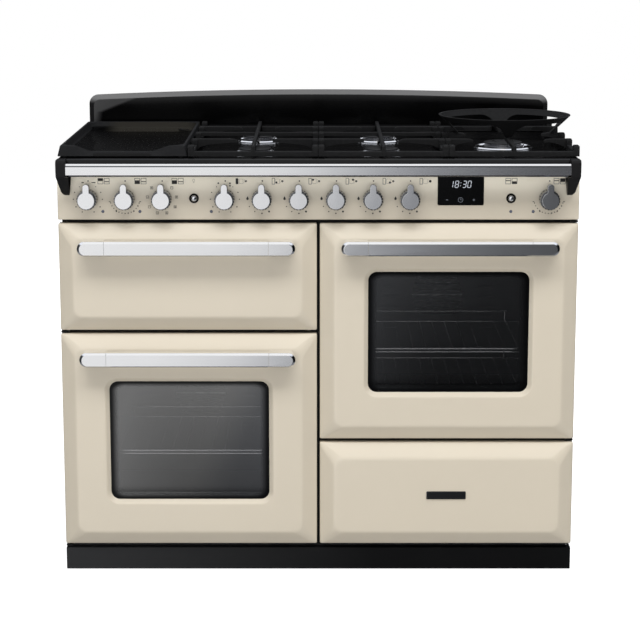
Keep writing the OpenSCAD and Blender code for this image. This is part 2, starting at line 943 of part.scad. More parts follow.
// Hob pressing: rounded nose, well for the burners and a raised strip at the back
module hob_tray() {
    nose_r = 8;
    strip_d = 20;
    color("#141415")
        placed()
            difference() {
                sideways(-hob_half, 2 * hob_half) {
                    translate([hob_front + nose_r, carcass_top])
                        square([hob_back - hob_front - nose_r, hob_z - carcass_top]);
                    translate([hob_front, carcass_top])
                        square([nose_r, hob_z - nose_r - carcass_top]);
                    translate([hob_front + nose_r, hob_z - nose_r])
                        circle(nose_r);
                    translate([hob_back - strip_d, hob_z - 4])
                        square([strip_d, strip_h]);
                    translate([hob_back - strip_d + 4, hob_z - 4])
                        square([strip_d - 4, strip_h + 4]);
                    translate([hob_back - strip_d + 4, hob_z + strip_h - 4])
                        circle(4);
                }
                translate([0, (well_front + well_back) / 2, well_z])
                    linear_extrude(40)
                        round_rect(2 * well_half, well_back - well_front, 12);
                block([sheet - hob_half, hob_front + sheet, carcass_top - cut],
                    [hob_half - sheet, hob_back - sheet, well_z - sheet]);
                for (b = burners)
                    rod_z(b[0], b[1], well_z - 3 * sheet, well_z + cut, throat_r + play);
            }
}

// Splashback pressing with a sloping border and a slightly arched top
module splash_form(inset, y, depth) {
    half = half_w - 5 - inset;
    arch = 12;
    r = 22;
    top = splash_top - inset;
    upright(y, depth)
        hull() {
            polygon([
                for (i = [-12:12]) [i * (half - r) / 12, top - arch * pow(i / 12, 2)],
                [half, carcass_top], [-half, carcass_top]
            ]);
            for (side = [-1, 1])
                translate([side * (half - r), top - arch - r])
                    circle(r, $fn = 40);
        }
}

module splashback() {
    border = 12;
    color("#101011")
        placed()
            difference() {
                hull() {
                    splash_form(border, hob_back, 0.5);
                    splash_form(0, body_depth - 2, 2);
                }
                hull() {
                    splash_form(border + sheet, hob_back + sheet, 0.5);
                    splash_form(sheet, body_depth, 2);
                }
            }
}

// Control panel: folded sheet, open at the back, with the holes for everything it carries
module control_panel() {
    color("#d8ccb6")
        placed()
            difference() {
                block([-half_w, 0, panel_z], [half_w, frame_y, carcass_top]);
                block([sheet - half_w, sheet, panel_z + sheet],
                    [half_w - sheet, frame_y + cut, carcass_top - sheet]);
                for (x = knob_xs)
                    rod_y(x, -cut, sheet + cut, knob_z, spindle_r + 2);
                for (x = button_xs)
                    rod_y(x, -cut, sheet + cut, button_z, collar_r - 2);
                for (x = lamp_xs)
                    rod_y(x, -cut, sheet + cut, lamp_z, lamp_r + 0.1);
                block([clock_x - clock_w / 2 + 4, -cut, clock_z + 4],
                    [clock_x + clock_w / 2 - 4, sheet + cut, clock_z + clock_h - 4]);
            }
}

// Five lamp lenses and the housings of the two push buttons
module lamps_and_collars() {
    collar_front = -3;
    housing_end = 17;
    color("#2b2b2d")
        placed() {
            for (x = lamp_xs)
                rod_y(x, -1.2, 14, lamp_z, lamp_r);
            for (x = button_xs)
                difference() {
                    union() {
                        rod_y(x, collar_front, 0, button_z, collar_r);
                        rod_y(x, 0, housing_end, button_z, collar_r - 2 - play);
                    }
                    rod_y(x, collar_front - cut, housing_end - 1.5, button_z, button_r + play);
                }
        }
}

// Clock and timer: glass plate on the panel and a body behind it
module clock_display() {
    color("#0a0a0b")
        placed() {
            translate([clock_x, 0, clock_z + clock_h / 2])
                upright(-1.5, 1.5)
                    round_rect(clock_w, clock_h, 3);
            block([clock_x - clock_w / 2 + 4 + play, 0, clock_z + 4 + play],
                [clock_x + clock_w / 2 - 4 - play, 26, clock_z + clock_h - 4 - play]);
        }
}

// Gas taps on their pipe, and the switches and thermostats behind the other knobs
module taps_and_switches() {
    bore = spindle_r + pin_play;
    color("#b59b5a")
        placed() {
            difference() {
                union() {
                    for (i = [4:8]) {
                        rod_y(knob_xs[i], sheet, pipe_y + 10, knob_z, 11);
                        rod_z(knob_xs[i], pipe_y, pipe_z, knob_z, 7);
                    }
                    rod_x(knob_xs[4] - 16, inlet_x, pipe_y, pipe_z, pipe_r);
                    translate([inlet_x, pipe_y, pipe_z])
                        sphere(pipe_r);
                    rod_y(inlet_x, pipe_y, back_y - 10, pipe_z, pipe_r);
                    rod_y(inlet_x, back_y - 18, inlet_y, pipe_z, inlet_nut_r);
                    rod_y(inlet_x, inlet_y, inlet_y + inlet_l, pipe_z, inlet_r);
                }
                for (i = [4:8])
                    rod_y(knob_xs[i], sheet - cut, spindle_end + 2, knob_z, bore);
                rod_y(inlet_x, inlet_y, inlet_y + inlet_l + cut, pipe_z, inlet_r - 3.5);
            }
            for (i = [0, 1, 2, 3, 9])
                difference() {
                    block([knob_xs[i] - 20, sheet, knob_z - 20],
                        [knob_xs[i] + 20, sheet + 38, knob_z + 20]);
                    rod_y(knob_xs[i], sheet - cut, spindle_end + 2, knob_z, bore);
                }
        }
}

// Front rail between the end caps
module front_rail() {
    color("silver")
        placed()
            sideways(-rail_half, 2 * rail_half)
                translate([-rail_reach - handle_t, rail_z + handle_h / 2])
                    bar_outline(handle_t, handle_h, bar_bevel + 1);
}

// Side profile of an end cap: round nose at the rail and a sloping ear down to the panel
module cap_profile() {
    nose = rail_reach + handle_t + 2;
    top = hob_z + 1.5;
    behind = hob_front - 0.4;
    r = 8;
    translate([r - nose, top - r])
        circle(r);
    polygon([
        [r - nose, top], [behind, top], [behind, carcass_top - play], [0, carcass_top - play],
        [0, rail_z - 37], [-14, rail_z - 37], [-nose, rail_z + 2], [-nose, top - r]
    ]);
}

module rail_end_caps() {
    outer = half_w - 3;
    color("#111112")
        placed()
            for (side = [-1, 1])
                scale([side, 1, 1])
                    intersection() {
                        sideways(rail_half - 20, 60)
                            cap_profile();
                        upright(-80, 90)
                            polygon([
                                [outer - 27, rail_z - 37], [outer - 16, rail_z - 37],
                                [outer - 9, rail_z - 31], [outer - 4, rail_z],
                                [outer, rail_z + 4], [outer, hob_z + 10],
                                [rail_half, hob_z + 10], [rail_half, rail_z - play],
                                [outer - 30, rail_z - play]
                            ]);
                    }
}

// Ring of gas ports cut into a burner head
module ports(count, r, z) {
    for (i = [0:count - 1])
        rotate([0, 0, (i + 0.5) * 360 / count])
            block([r - 4, -0.9, z], [r + cut, 0.9, z + 3 + cut]);
}

// Base of a burner: polished spill ring, throat and head with ports
module burner_base(ring_r, head_r, count) {
    head_h = 10;
    difference() {
        rotate_extrude()
            polygon([
                [0, -12], [throat_r, -12], [throat_r, 0], [ring_r, 0], [ring_r - 1, 1.5],
                [head_r + 8, 3], [head_r - 2, 4], [head_r, 6], [head_r, head_h], [0, head_h]
            ]);
        ports(count, head_r, head_h - 3);
    }
    rod_z(head_r + 5, 0, 2, head_h + 2, 1.8);
}

module burner_bases() {
    color("silver")
        placed()
            for (b = burners)
                translate([b[0], b[1], well_z])
                    burner_base(b[2] == 1 ? 66.5 : 52, b[2] == 1 ? 41.5 : 34,
                        b[2] == 1 ? 28 : 20);
}

// Domed cap of a burner; the wok burner has a ring groove between its two flames
module burner_cap(r, grooved) {
    rotate_extrude()
        difference() {
            polygon([[0, 0], [r, 0], [r, 2.5], [r - 3, 4.2], [r * 0.6, 5.2], [0, 5.6]]);
            if (grooved)
                translate([r * 0.45, 2.6])
                    square([5, 6]);
        }
}

module burner_caps() {
    color("#0d0d0e")
        placed()
            for (b = burners)
                translate([b[0], b[1], well_z + 10])
                    burner_cap(b[2] == 1 ? 43 : 36, b[2] == 1);
}

// Control knob with its pointer tab and its spindle
module knob(x) {
    edge = 1.5;
    color("silver")
        placed()
            translate([x, 0, knob_z]) {
                rotate([90, 0, 0])
                    rotate_extrude()
                        polygon([
                            [0, knob_gap], [knob_r, knob_gap], [knob_r, knob_body_l - edge],
                            [knob_r - edge, knob_body_l], [knob_disc_r, knob_body_l],
                            [knob_disc_r, knob_face - edge], [knob_disc_r - edge, knob_face],
                            [0, knob_face]
                        ]);
                upright(-knob_face, pointer_t) {
                    translate([-pointer_w / 2, 0])
                        square([pointer_w, pointer_reach - pointer_w / 2]);
                    translate([0, pointer_reach - pointer_w / 2])
                        circle(pointer_w / 2);
                }
                rod_y(0, -knob_gap - 1, spindle_end, 0, spindle_r);
            }
}

// Push button with a slightly domed face
module button(x) {
    dome_r = 10;
    rise = 5;
    color("silver")
        placed()
            translate([x, 0, button_z])
                rotate([90, 0, 0])
                    rotate_extrude()
                        intersection() {
                            translate([0, -12])
                                square([button_r, 12 + rise]);
                            translate([0, rise - dome_r])
                                circle(dome_r);
                        }
}

module knob_grill() { knob(knob_xs[0]); }
module knob_left_oven_heat() { knob(knob_xs[1]); }
module knob_left_oven_mode() { knob(knob_xs[2]); }
module knob_griddle() { knob(knob_xs[3]); }
module knob_burner_1() { knob(knob_xs[4]); }
module knob_burner_2() { knob(knob_xs[5]); }
module knob_burner_3() { knob(knob_xs[6]); }
module knob_burner_4() { knob(knob_xs[7]); }
module knob_burner_5() { knob(knob_xs[8]); }
module knob_right_oven_heat() { knob(knob_xs[9]); }
module button_oven_light() { button(button_xs[0]); }
module button_drawer() { button(button_xs[1]); }

// Skin of the grill door with the notches for the hinge ears
module grill_door() {
    color("#d8ccb6")
        placed()
            on_front(-1, grill_bottom, grill_door_h)
                difference() {
                    pressed_skin(front_w, grill_door_h);
                    for (side = [-1, 1])
                        translate([side * (front_w / 2 - grill_ear_x - 1.5), 0,
                            -grill_door_h / 2])
                            block([-2.1, 1.1, -cut], [2.1, front_depth + cut, sheet + cut]);
                }
}

// Inner tray of the grill door with its two hinge bosses and the slots for the ears
module grill_door_liner() {
    boss_x = front_w / 2 - grill_ear_x - 8;
    low = -grill_door_h / 2;
    pin_z = low + grill_hinge_rise;
    color("#232326")
        placed()
            on_front(-1, grill_bottom, grill_door_h)
                difference() {
                    union() {
                        upright(skin_back, sheet)
                            round_rect(front_w - 2 * (sheet + play),
                                grill_door_h - 2 * (sheet + play), rim_r);
                        for (side = [-1, 1])
                            translate([side * boss_x, 0, pin_z])
                                block([-4.5, -0.2, -3.5], [4.5, skin_back, 5]);
                    }
                    for (side = [-1, 1]) {
                        translate([side * (front_w / 2 - grill_ear_x - 1.5), 0, low])
                            block([-2.1, skin_back - cut, -cut],
                                [2.1, front_depth + cut, grill_hinge_rise + 3.5]);
                        rod_x(side * boss_x - 6, side * boss_x + 6, grill_hinge_y, pin_z,
                            grill_hinge_r + pin_play);
                    }
                }
}

// Places a handle on the front with the given top edge
module place_handle(side, top) {
    color("silver")
        placed()
            translate([side * front_x, 0, top - handle_drop])
                handle();
}

module grill_door_handle() { place_handle(-1, grill_top); }
module left_door_handle() { place_handle(-1, left_top); }
module right_door_handle() { place_handle(1, grill_top); }

module left_door() {
    color("#d8ccb6")
        placed()
            on_front(-1, left_bottom, left_door_h)
                difference() {
                    window_skin(front_w, left_door_h);
                    pin_passages(front_w, left_door_h, -1);
                }
}

module left_door_liner() {
    color("#232326")
        placed()
            on_front(-1, left_bottom, left_door_h)
                oven_liner(front_w, left_door_h, -1);
}

module left_door_glass() {
    color("#303134")
        placed()
            on_front(-1, left_bottom, left_door_h)
                panes(left_door_h);
}

module right_door() {
    color("#d8ccb6")
        placed()
            on_front(1, right_bottom, right_door_h)
                difference() {
                    window_skin(front_w, right_door_h);
                    pin_passages(front_w, right_door_h, 1);
                }
}

module right_door_liner() {
    color("#232326")
        placed()
            on_front(1, right_bottom, right_door_h)
                oven_liner(front_w, right_door_h, 1);
}

module right_door_glass() {
    color("#303134")
        placed()
            on_front(1, right_bottom, right_door_h)
                panes(right_door_h);
}

module drawer_front() {
    color("#d8ccb6")
        placed()
            on_front(1, left_bottom, drawer_front_h)
                pressed_skin(front_w, drawer_front_h);
}

// Drawer box, open at the top, with the sheet that closes the back of the drawer front
module drawer_box() {
    box_half = drawer_box_w / 2;
    color("#3a3a3d")
        placed() {
            on_front(1, left_bottom, drawer_front_h)
                upright(skin_back, sheet)
                    round_rect(front_w - 2 * (sheet + play),
                        drawer_front_h - 2 * (sheet + play), rim_r);
            translate([front_x, 0, drawer_box_z])
                difference() {
                    block([-box_half, front_depth - sheet, 0],
                        [box_half, front_depth + drawer_box_d, drawer_box_h]);
                    block([sheet - box_half, front_depth, sheet],
                        [box_half - sheet, front_depth + drawer_box_d - sheet,
                            drawer_box_h + cut]);
                }
        }
}

// Griddle plate: cast tray with a lowered front wall, a fat drain and four pads
module griddle_plate() {
    x0 = -2 * bay_w + bay_gap;
    w = bay_w - 2 * bay_gap;
    d = grate_back - grate_front;
    top = hob_z + griddle_rim;
    floor_t = 6;
    inner_r = 34;
    low_w = 172;
    low_drop = 12;
    color("#1a1a1b")
        placed()
            translate([x0 + w / 2, grate_front + d / 2, 0])
                difference() {
                    union() {
                        translate([0, 0, grate_z])
                            linear_extrude(top - grate_z)
                                round_rect(w, d, 5);
                        for (sx = [-1, 1], sy = [-1, 1])
                            rod_z(sx * (w / 2 - 14), sy * (d / 2 - 7), hob_z, grate_z + cut, 5);
                    }
                    translate([0, 0, grate_z + floor_t])
                        linear_extrude(griddle_rim)
                            round_rect(w - 2 * griddle_wall, d - 2 * griddle_wall, inner_r);
                    upright(-d / 2 - cut, griddle_wall + 2 * cut)
                        polygon([
                            [-low_w / 2, top - low_drop], [low_w / 2, top - low_drop],
                            [low_w / 2 + 8, top + cut], [-low_w / 2 - 8, top + cut]
                        ]);
                    translate([0, -d / 2 + 0.75, grate_z + 3.5])
                        cube([120, 1.5 + cut, 6], center = true);
                    rod_z(w / 2 - 40, d / 2 - 34, grate_z - cut, grate_z + griddle_rim, 11);
                }
}

// Outline of a cast bar with its two top edges bevelled, standing on v = 0
module cast_bar(w, h) {
    bevel = 1.5;
    polygon([
        [-w / 2, 0], [w / 2, 0], [w / 2, h - bevel], [w / 2 - bevel, h],
        [bevel - w / 2, h], [-w / 2, h - bevel]
    ]);
}

// Finger from a side bar towards the middle, thinning to its round end; reach is its length
module finger(reach, y) {
    low = support_top - grate_z;
    intersection() {
        upright(y - 5, 10)
            polygon([
                [0, 0], [bar_w, 0], [bar_w + 10, low - spine_h - 3], [reach - 8, low - spine_h],
                [reach, low - 4], [reach, low - 2], [reach - 4, low], [0, low]
            ]);
        translate([0, y, 0])
            linear_extrude(low) {
                translate([0, -5])
                    square([reach - 5, 10]);
                translate([reach - 5, 0])
                    circle(5);
            }
    }
}

// Stretch of the thin spine from y0 to y1; its foot stands on the end bar at y0
module spine(y0, y1) {
    low = support_top - grate_z;
    way = y1 > y0 ? 1 : -1;
    sideways(-spine_w / 2, spine_w)
        polygon([
            [y0, 0], [y0 + way * bar_w, 0], [y0 + way * 42, low - spine_h],
            [y1, low - spine_h], [y1, low], [y0 + way * 3, low], [y0, low - 3]
        ]);
}

// Cast frame of a pan support, its lugs and the feet on which it stands
module grate_frame(lug_ys) {
    w = bay_w - 2 * bay_gap;
    low = support_top - grate_z;
    lug_l = 24;
    for (side = [-1, 1]) {
        upright(grate_front, grate_back - grate_front)
            translate([side * (w - bar_w) / 2, 0])
                cast_bar(bar_w, bar_h);
        for (y = lug_ys)
            upright(y - lug_l / 2, lug_l)
                translate([side * (w - bar_w) / 2, 0])
                    cast_bar(bar_w, low);
        for (y = [grate_front + 7, grate_back - 7])
            rod_z(side * (w / 2 - 14), y, hob_z - grate_z, cut, 5);
    }
    for (y = [grate_front + bar_w / 2, grate_back - bar_w / 2])
        sideways(-w / 2, w)
            translate([y, 0])
                cast_bar(bar_w, bar_h);
}

// Pan support over two burners, with a full spine, four fingers and a cross bar
module double_support(x) {
    w = bay_w - 2 * bay_gap;
    low = support_top - grate_z;
    reach = w / 2 - 38;
    color("#161617")
        placed()
            translate([x, 0, grate_z]) {
                grate_frame([grate_front + 12, burner_front_y, grate_mid_y, burner_back_y,
                    grate_back - 12]);
                spine(grate_front, grate_mid_y);
                spine(grate_back, grate_mid_y);
                for (side = [-1, 1], y = [burner_front_y, burner_back_y])
                    scale([side, 1, 1])
                        translate([-w / 2, 0, 0])
                            finger(reach, y);
                sideways(-w / 2 + 1, w - 2)
                    translate([grate_mid_y, low - spine_h])
                        cast_bar(10, spine_h);
            }
}

// Pan support over the wok burner: four arms that point at the burner and leave it open
module wok_support(x) {
    w = bay_w - 2 * bay_gap;
    arm_gap = 84;
    color("#161617")
        placed()
            translate([x, 0, grate_z]) {
                grate_frame([grate_front + 12, burner_front_y, wok_y, burner_back_y,
                    grate_back - 12]);
                spine(grate_front, wok_y - arm_gap);
                spine(grate_back, wok_y + arm_gap);
                for (side = [-1, 1])
                    scale([side, 1, 1])
                        translate([-w / 2, 0, 0]) {
                            finger(w / 2 - arm_gap, wok_y);
                            for (y = [burner_front_y, burner_back_y])
                                finger(60, y);
                        }
            }
}

module support_centre_left() { double_support(-bay_w / 2); }
module support_centre_right() { double_support(bay_w / 2); }
module support_right() { wok_support(wok_x); }

// Wok ring: a sloping band on four spreading legs that stand on the arms of its support
module wok_ring() {
    band_h = 18;
    wall = 5;
    slope = 40 / 36;
    foot_half = 6;
    leg_half = 34;
    color("#161617")
        placed()
            translate([wok_x, wok_y, support_top])
                intersection() {
                    rotate_extrude()
                        polygon([
                            [wok_ring_r - wall - wok_ring_h * slope, 0],
                            [wok_ring_r - wok_ring_h * slope, 0],
                            [wok_ring_r, wok_ring_h - 3], [wok_ring_r - 1.5, wok_ring_h],
                            [wok_ring_r - wall, wok_ring_h]
                        ]);
                    union() {
                        rod_z(0, 0, wok_ring_h - band_h, wok_ring_h + cut, wok_ring_r + 5);
                        for (a = [0, 90])
                            rotate([0, 0, a])
                                upright(-wok_ring_r - cut, 2 * (wok_ring_r + cut))
                                    polygon([
                                        [-foot_half, 0], [foot_half, 0], [foot_half + 3, 8],
                                        [foot_half + 10, 14], [leg_half, wok_ring_h - band_h + 1],
                                        [-leg_half, wok_ring_h - band_h + 1],
                                        [-foot_half - 10, 14], [-foot_half - 3, 8]
                                    ]);
                    }
                }
}

base_frame();
levelling_feet();
side_panels();
back_panel();
plinth();
front_frame();
grill_cavity();
left_oven_cavity();
right_oven_cavity();
door_seals();
hinge_brackets();
shelf_racks();
drawer_runners();
heating_elements();
hob_tray();
splashback();
control_panel();
lamps_and_collars();
clock_display();
taps_and_switches();
front_rail();
rail_end_caps();
burner_bases();
burner_caps();
knob_grill();
knob_left_oven_heat();
knob_left_oven_mode();
knob_griddle();
knob_burner_1();
knob_burner_2();
knob_burner_3();
knob_burner_4();
knob_burner_5();
knob_right_oven_heat();
button_oven_light();
button_drawer();
grill_door();
grill_door_liner();
grill_door_handle();
left_door();
left_door_liner();
left_door_glass();
left_door_handle();
right_door();
right_door_liner();
right_door_glass();
right_door_handle();
drawer_front();
drawer_box();
grill_pan();
left_shelf();
right_upper_shelf();
right_lower_shelf();
left_fan_blade();
right_fan_blade();
griddle_plate();
support_centre_left();
support_centre_right();
support_right();
wok_ring();
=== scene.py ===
"""Dressed model of a free-standing dual fuel range cooker on its packed frame.

Sizes are in millimetres from the plane of the door rims (Y = 0, with Y going back into the
cooker), X from the middle of the body and Z from the floor. They become metres in the frame
only when a mesh is written or a finish asks for a place.
"""

import json
import logging
import math
from dataclasses import dataclass, field
from enum import Enum
from functools import reduce
from typing import Callable, Iterable, Optional, Sequence, Union

import bmesh
import bpy
import numpy as np
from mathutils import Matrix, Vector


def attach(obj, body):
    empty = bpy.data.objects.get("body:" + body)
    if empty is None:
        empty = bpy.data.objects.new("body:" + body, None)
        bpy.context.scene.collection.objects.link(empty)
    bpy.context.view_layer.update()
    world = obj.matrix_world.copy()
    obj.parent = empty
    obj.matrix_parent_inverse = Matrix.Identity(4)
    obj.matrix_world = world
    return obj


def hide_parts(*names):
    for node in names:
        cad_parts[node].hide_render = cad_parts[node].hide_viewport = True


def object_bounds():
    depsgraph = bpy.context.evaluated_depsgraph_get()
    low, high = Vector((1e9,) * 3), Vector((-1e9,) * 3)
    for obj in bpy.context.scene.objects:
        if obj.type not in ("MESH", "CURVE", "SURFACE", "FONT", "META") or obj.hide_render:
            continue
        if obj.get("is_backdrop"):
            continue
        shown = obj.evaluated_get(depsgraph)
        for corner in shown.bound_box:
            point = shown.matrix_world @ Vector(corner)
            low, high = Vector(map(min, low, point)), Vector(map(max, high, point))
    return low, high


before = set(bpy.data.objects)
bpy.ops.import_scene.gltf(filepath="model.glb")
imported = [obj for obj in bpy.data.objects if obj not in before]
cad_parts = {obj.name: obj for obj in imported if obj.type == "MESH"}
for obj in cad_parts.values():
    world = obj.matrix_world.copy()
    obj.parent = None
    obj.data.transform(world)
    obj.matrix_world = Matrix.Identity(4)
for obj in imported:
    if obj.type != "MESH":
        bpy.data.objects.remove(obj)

LOG = logging.getLogger("range_cooker")
SHIFT = np.array([-4.25, -262.0, 0.0])
TURN = 2 * math.pi
SIDE_X = 545.5
SPLASH_Y = 575.0
WINDOW_HALF = (167.5, 127.5)
LEFT_WINDOW = (-274.25, 292.0)
RIGHT_WINDOW = (274.25, 527.5)
KNOB_Z = 809.5
HOB_FRONT, HOB_BACK = 10.0, 550.0
HOB_FOOT, GRATE_TOP = 897.0, 920.0
HALF_BAY = 136.5
BURNER_YS = (150.0, 420.0)
WOK_Y = 280.0
Number = Union[int, float]
Colour = tuple[float, float, float]
Pair = tuple[float, float]
Box = tuple[float, float, float, float]
Steps = Sequence[tuple[float, ...]]


class Grain(Enum):
    """Direction in which a metal is brushed, or none where it is polished."""

    NONE = (1.0, 1.0, 1.0)
    ALONG_X = (0.006, 1.0, 1.0)
    ALONG_Y = (1.0, 0.006, 1.0)


class Along(Enum):
    """Axis along which a profile is carried; its two in-plane axes come first."""

    X = (1, 2, 0)
    Y = (0, 2, 1)
    Z = (0, 1, 2)


def metres(place: float, axis: Along = Along.Z) -> float:
    """Frame coordinate, in metres, of a place in millimetres on one axis."""
    return float(place + SHIFT[axis.value[2]]) / 1000


# Shader maths


def operation(name: str, meaning: str, swapped: bool = False) -> Callable[..., "Signal"]:
    """Method of Signal that adds one Math node.

    Args:
        name: the node's operation.
        meaning: the method's docstring.
        swapped: True if the signal is the second operand.

    Returns:
        The method.
    """
    def method(self: "Signal", *others: "Signal | Number") -> "Signal":
        """One Math node on this and other values."""
        operands = [*others, self] if swapped else [self, *others]
        return self.shader.node("Math", dict(enumerate(operands)), operation=name)

    method.__doc__ = meaning
    return method


class Signal:
    """A shader socket that takes part in Python arithmetic."""

    __add__ = __radd__ = operation("ADD", "Sum of two values.")
    __sub__ = operation("SUBTRACT", "Difference of this and another value.")
    __rsub__ = operation("SUBTRACT", "Difference with a number on the left.", swapped=True)
    __mul__ = __rmul__ = operation("MULTIPLY", "Product of two values.")
    __truediv__ = operation("DIVIDE", "Quotient of this and another value.")
    __abs__ = operation("ABSOLUTE", "Absolute value.")
    at_least = operation("MAXIMUM", "The larger of this and another value.")
    at_most = operation("MINIMUM", "The smaller of this and another value.")
    root = operation("SQRT", "Square root.")

    def __init__(self, shader: "Shader", socket: bpy.types.NodeSocket) -> None:
        """Keep the socket and the shader that it belongs to."""
        self.shader = shader
        self.socket = socket

    def __neg__(self) -> "Signal":
        """This value with its sign turned."""
        return self * -1.0

    def step(self, low: float, high: float, form: str = "SMOOTHSTEP") -> "Signal":
        """Rise from 0 at low to 1 at high, smooth or LINEAR.

        Args:
            low: the value at which the rise starts.
            high: the value at which it ends.
            form: SMOOTHSTEP or LINEAR.

        Returns:
            The rise.
        """
        return self.shader.node(
            "MapRange", {"Value": self, "From Min": low, "From Max": high},
            interpolation_type=form)

    def drop(self, low: float, high: float) -> "Signal":
        """Smooth fall from 1 at low to 0 at high."""
        return 1.0 - self.step(low, high)


class Shader:
    """One node tree, filled by a finish."""

    def __init__(self, tree: bpy.types.NodeTree) -> None:
        """Start from an empty tree."""
        self.tree = tree
        tree.nodes.clear()

    def make(self, kind: str, sockets: dict[object, object], stops: Steps = (),
             **settings: object) -> bpy.types.Node:
        """Make one node: its settings first, then its sockets.

        Args:
            kind: the node's type after the word ShaderNode.
            sockets: values or signals by input name or number.
            stops: places and levels of a colour ramp.
            settings: the node's properties.

        Returns:
            The node.
        """
        made = self.tree.nodes.new("ShaderNode" + kind)
        for key, value in settings.items():
            setattr(made, key, value)
        for _ in stops[2:]:
            made.color_ramp.elements.new(0.5)
        for k, (place, level) in enumerate(stops):
            made.color_ramp.elements[k].position = place
            made.color_ramp.elements[k].color = (level, level, level, 1.0)
        for key, value in sockets.items():
            if isinstance(value, Signal):
                self.tree.links.new(value.socket, made.inputs[key])
            else:
                made.inputs[key].default_value = value
        return made

    def node(self, kind: str, sockets: dict[object, object], output: Union[int, str] = 0,
             **settings: object) -> Signal:
        """Make one node, as make does, and take one of its outputs as a signal."""
        return Signal(self, self.make(kind, sockets, **settings).outputs[output])

    def place(self) -> Signal:
        """Object coordinates."""
        return self.node("TexCoord", {}, "Object")

    def axes(self, vector: Optional[Signal] = None) -> tuple[Signal, ...]:
        """The three parts of a vector, or else of the object coordinates."""
        split = self.make("SeparateXYZ", {0: vector or self.place()})
        return tuple(Signal(self, part) for part in split.outputs)

    def noise(self, scale: float, detail: float = 2.0,
              stretch: Sequence[float] = (1, 1, 1)) -> Signal:
        """Soft noise around 0.5 on object coordinates.

        Args:
            scale: noise cells per metre.
            detail: levels of finer noise.
            stretch: factors on the three axes.

        Returns:
            The noise value.
        """
        where = self.node("Mapping", {"Vector": self.place(), "Scale": tuple(stretch)})
        return self.node("TexNoise", {"Vector": where, "Scale": scale, "Detail": detail})

    def cells(self, scale: float, output: str = "Distance") -> Signal:
        """Scattered points: the distance to the nearest, or its Color."""
        return self.node("TexVoronoi", {"Vector": self.place(), "Scale": scale}, output)

    def blend(self, factor: Signal, low: "Signal | Colour", high: "Signal | Colour") -> Signal:
        """Colour that goes from low to high with a factor."""
        low, high = (c if isinstance(c, Signal) else (*c, 1.0) for c in (low, high))
        return self.node("Mix", {0: factor, 6: low, 7: high}, 2, data_type="RGBA")

    def vary(self, factor: Signal, tint: Colour, low: float, high: float) -> Signal:
        """Tint whose strength goes from low to high with a factor."""
        return self.blend(factor, *(tuple(min(1.0, part * share) for part in tint)
                                    for share in (low, high)))

    def bump(self, height: Signal, depth: float) -> Signal:
        """Normal from a height signal, with the depth in metres."""
        return self.node("Bump", {"Height": height, "Distance": depth}, "Normal")

    def orange_peel(self, depth: float) -> Signal:
        """Normal of the slow ripple that fired enamel has."""
        return self.bump(self.noise(190.0, 1.0), depth)

    def sand_cast(self, depth: float) -> tuple[Signal, Signal]:
        """Pits of a sand casting, and the normal that they give with a finer grain."""
        grain, pits = self.noise(900.0, 4.0), self.noise(170.0)
        return pits, self.bump(grain * 0.7 + pits * 0.5, depth)

    def principled(self, **sockets: object) -> None:
        """Finish the material with one Principled shader; names take _ for a space."""
        self.show(self.node("BsdfPrincipled",
                            {key.replace("_", " "): value for key, value in sockets.items()}))

    def show(self, body: Signal, target: str = "OutputMaterial") -> None:
        """Link a shader to the output of the material or world."""
        self.make(target, {"Surface": body})


# Finishes


@dataclass(frozen=True)
class Finish:
    """A surface finish; the subclasses say how it is built."""

    label: str
    slot: str

    def fill(self, shader: Shader) -> None:
        """Put the finish's nodes into an empty tree."""
        raise NotImplementedError

    def material(self) -> bpy.types.Material:
        """The finish's material, made once.

        Returns:
            The material.
        """
        known = bpy.data.materials.get(self.label)
        if known is None:
            known = bpy.data.materials.new(self.label)
            known.use_nodes = True
            self.fill(Shader(known.node_tree))
        return known


@dataclass(frozen=True)
class Enamel(Finish):
    """Fired vitreous enamel: an even tint, a faint orange peel and a glossy coat."""

    tint: Colour
    roughness: float = 0.25
    coat: float = 0.3
    peel: float = 0.00003
    flecks: float = 0.0
    sheen: float = 0.5
    # Colour of painted light towards the top, or None.
    upper: Optional[Colour] = None

    def fill(self, shader: Shader) -> None:
        """Tint with broad mottling, optional flecks or upper tint, and rippled gloss.

        Args:
            shader: the material's empty tree.
        """
        colour = shader.vary(shader.noise(3.0, 3.0), self.tint, 0.97, 1.03)
        if self.flecks > 0:
            mask = shader.cells(420.0).drop(0.1, 0.2) * self.flecks
            colour = shader.blend(mask, colour, (0.35, 0.35, 0.36))
        # Painted light: the tint grows lighter towards the top of the piece, standing in for light
        # that reaches under the rail.
        if self.upper:
            *_, z = shader.axes()
            colour = shader.blend(z.step(0.796, 0.852), colour, self.upper)
        shader.principled(
            Base_Color=colour,
            Roughness=shader.noise(24.0, 3.0) * 0.06 + (self.roughness - 0.03),
            Specular_IOR_Level=self.sheen,
            Coat_Weight=self.coat,
            Coat_Roughness=0.08,
            Normal=shader.orange_peel(self.peel),
        )


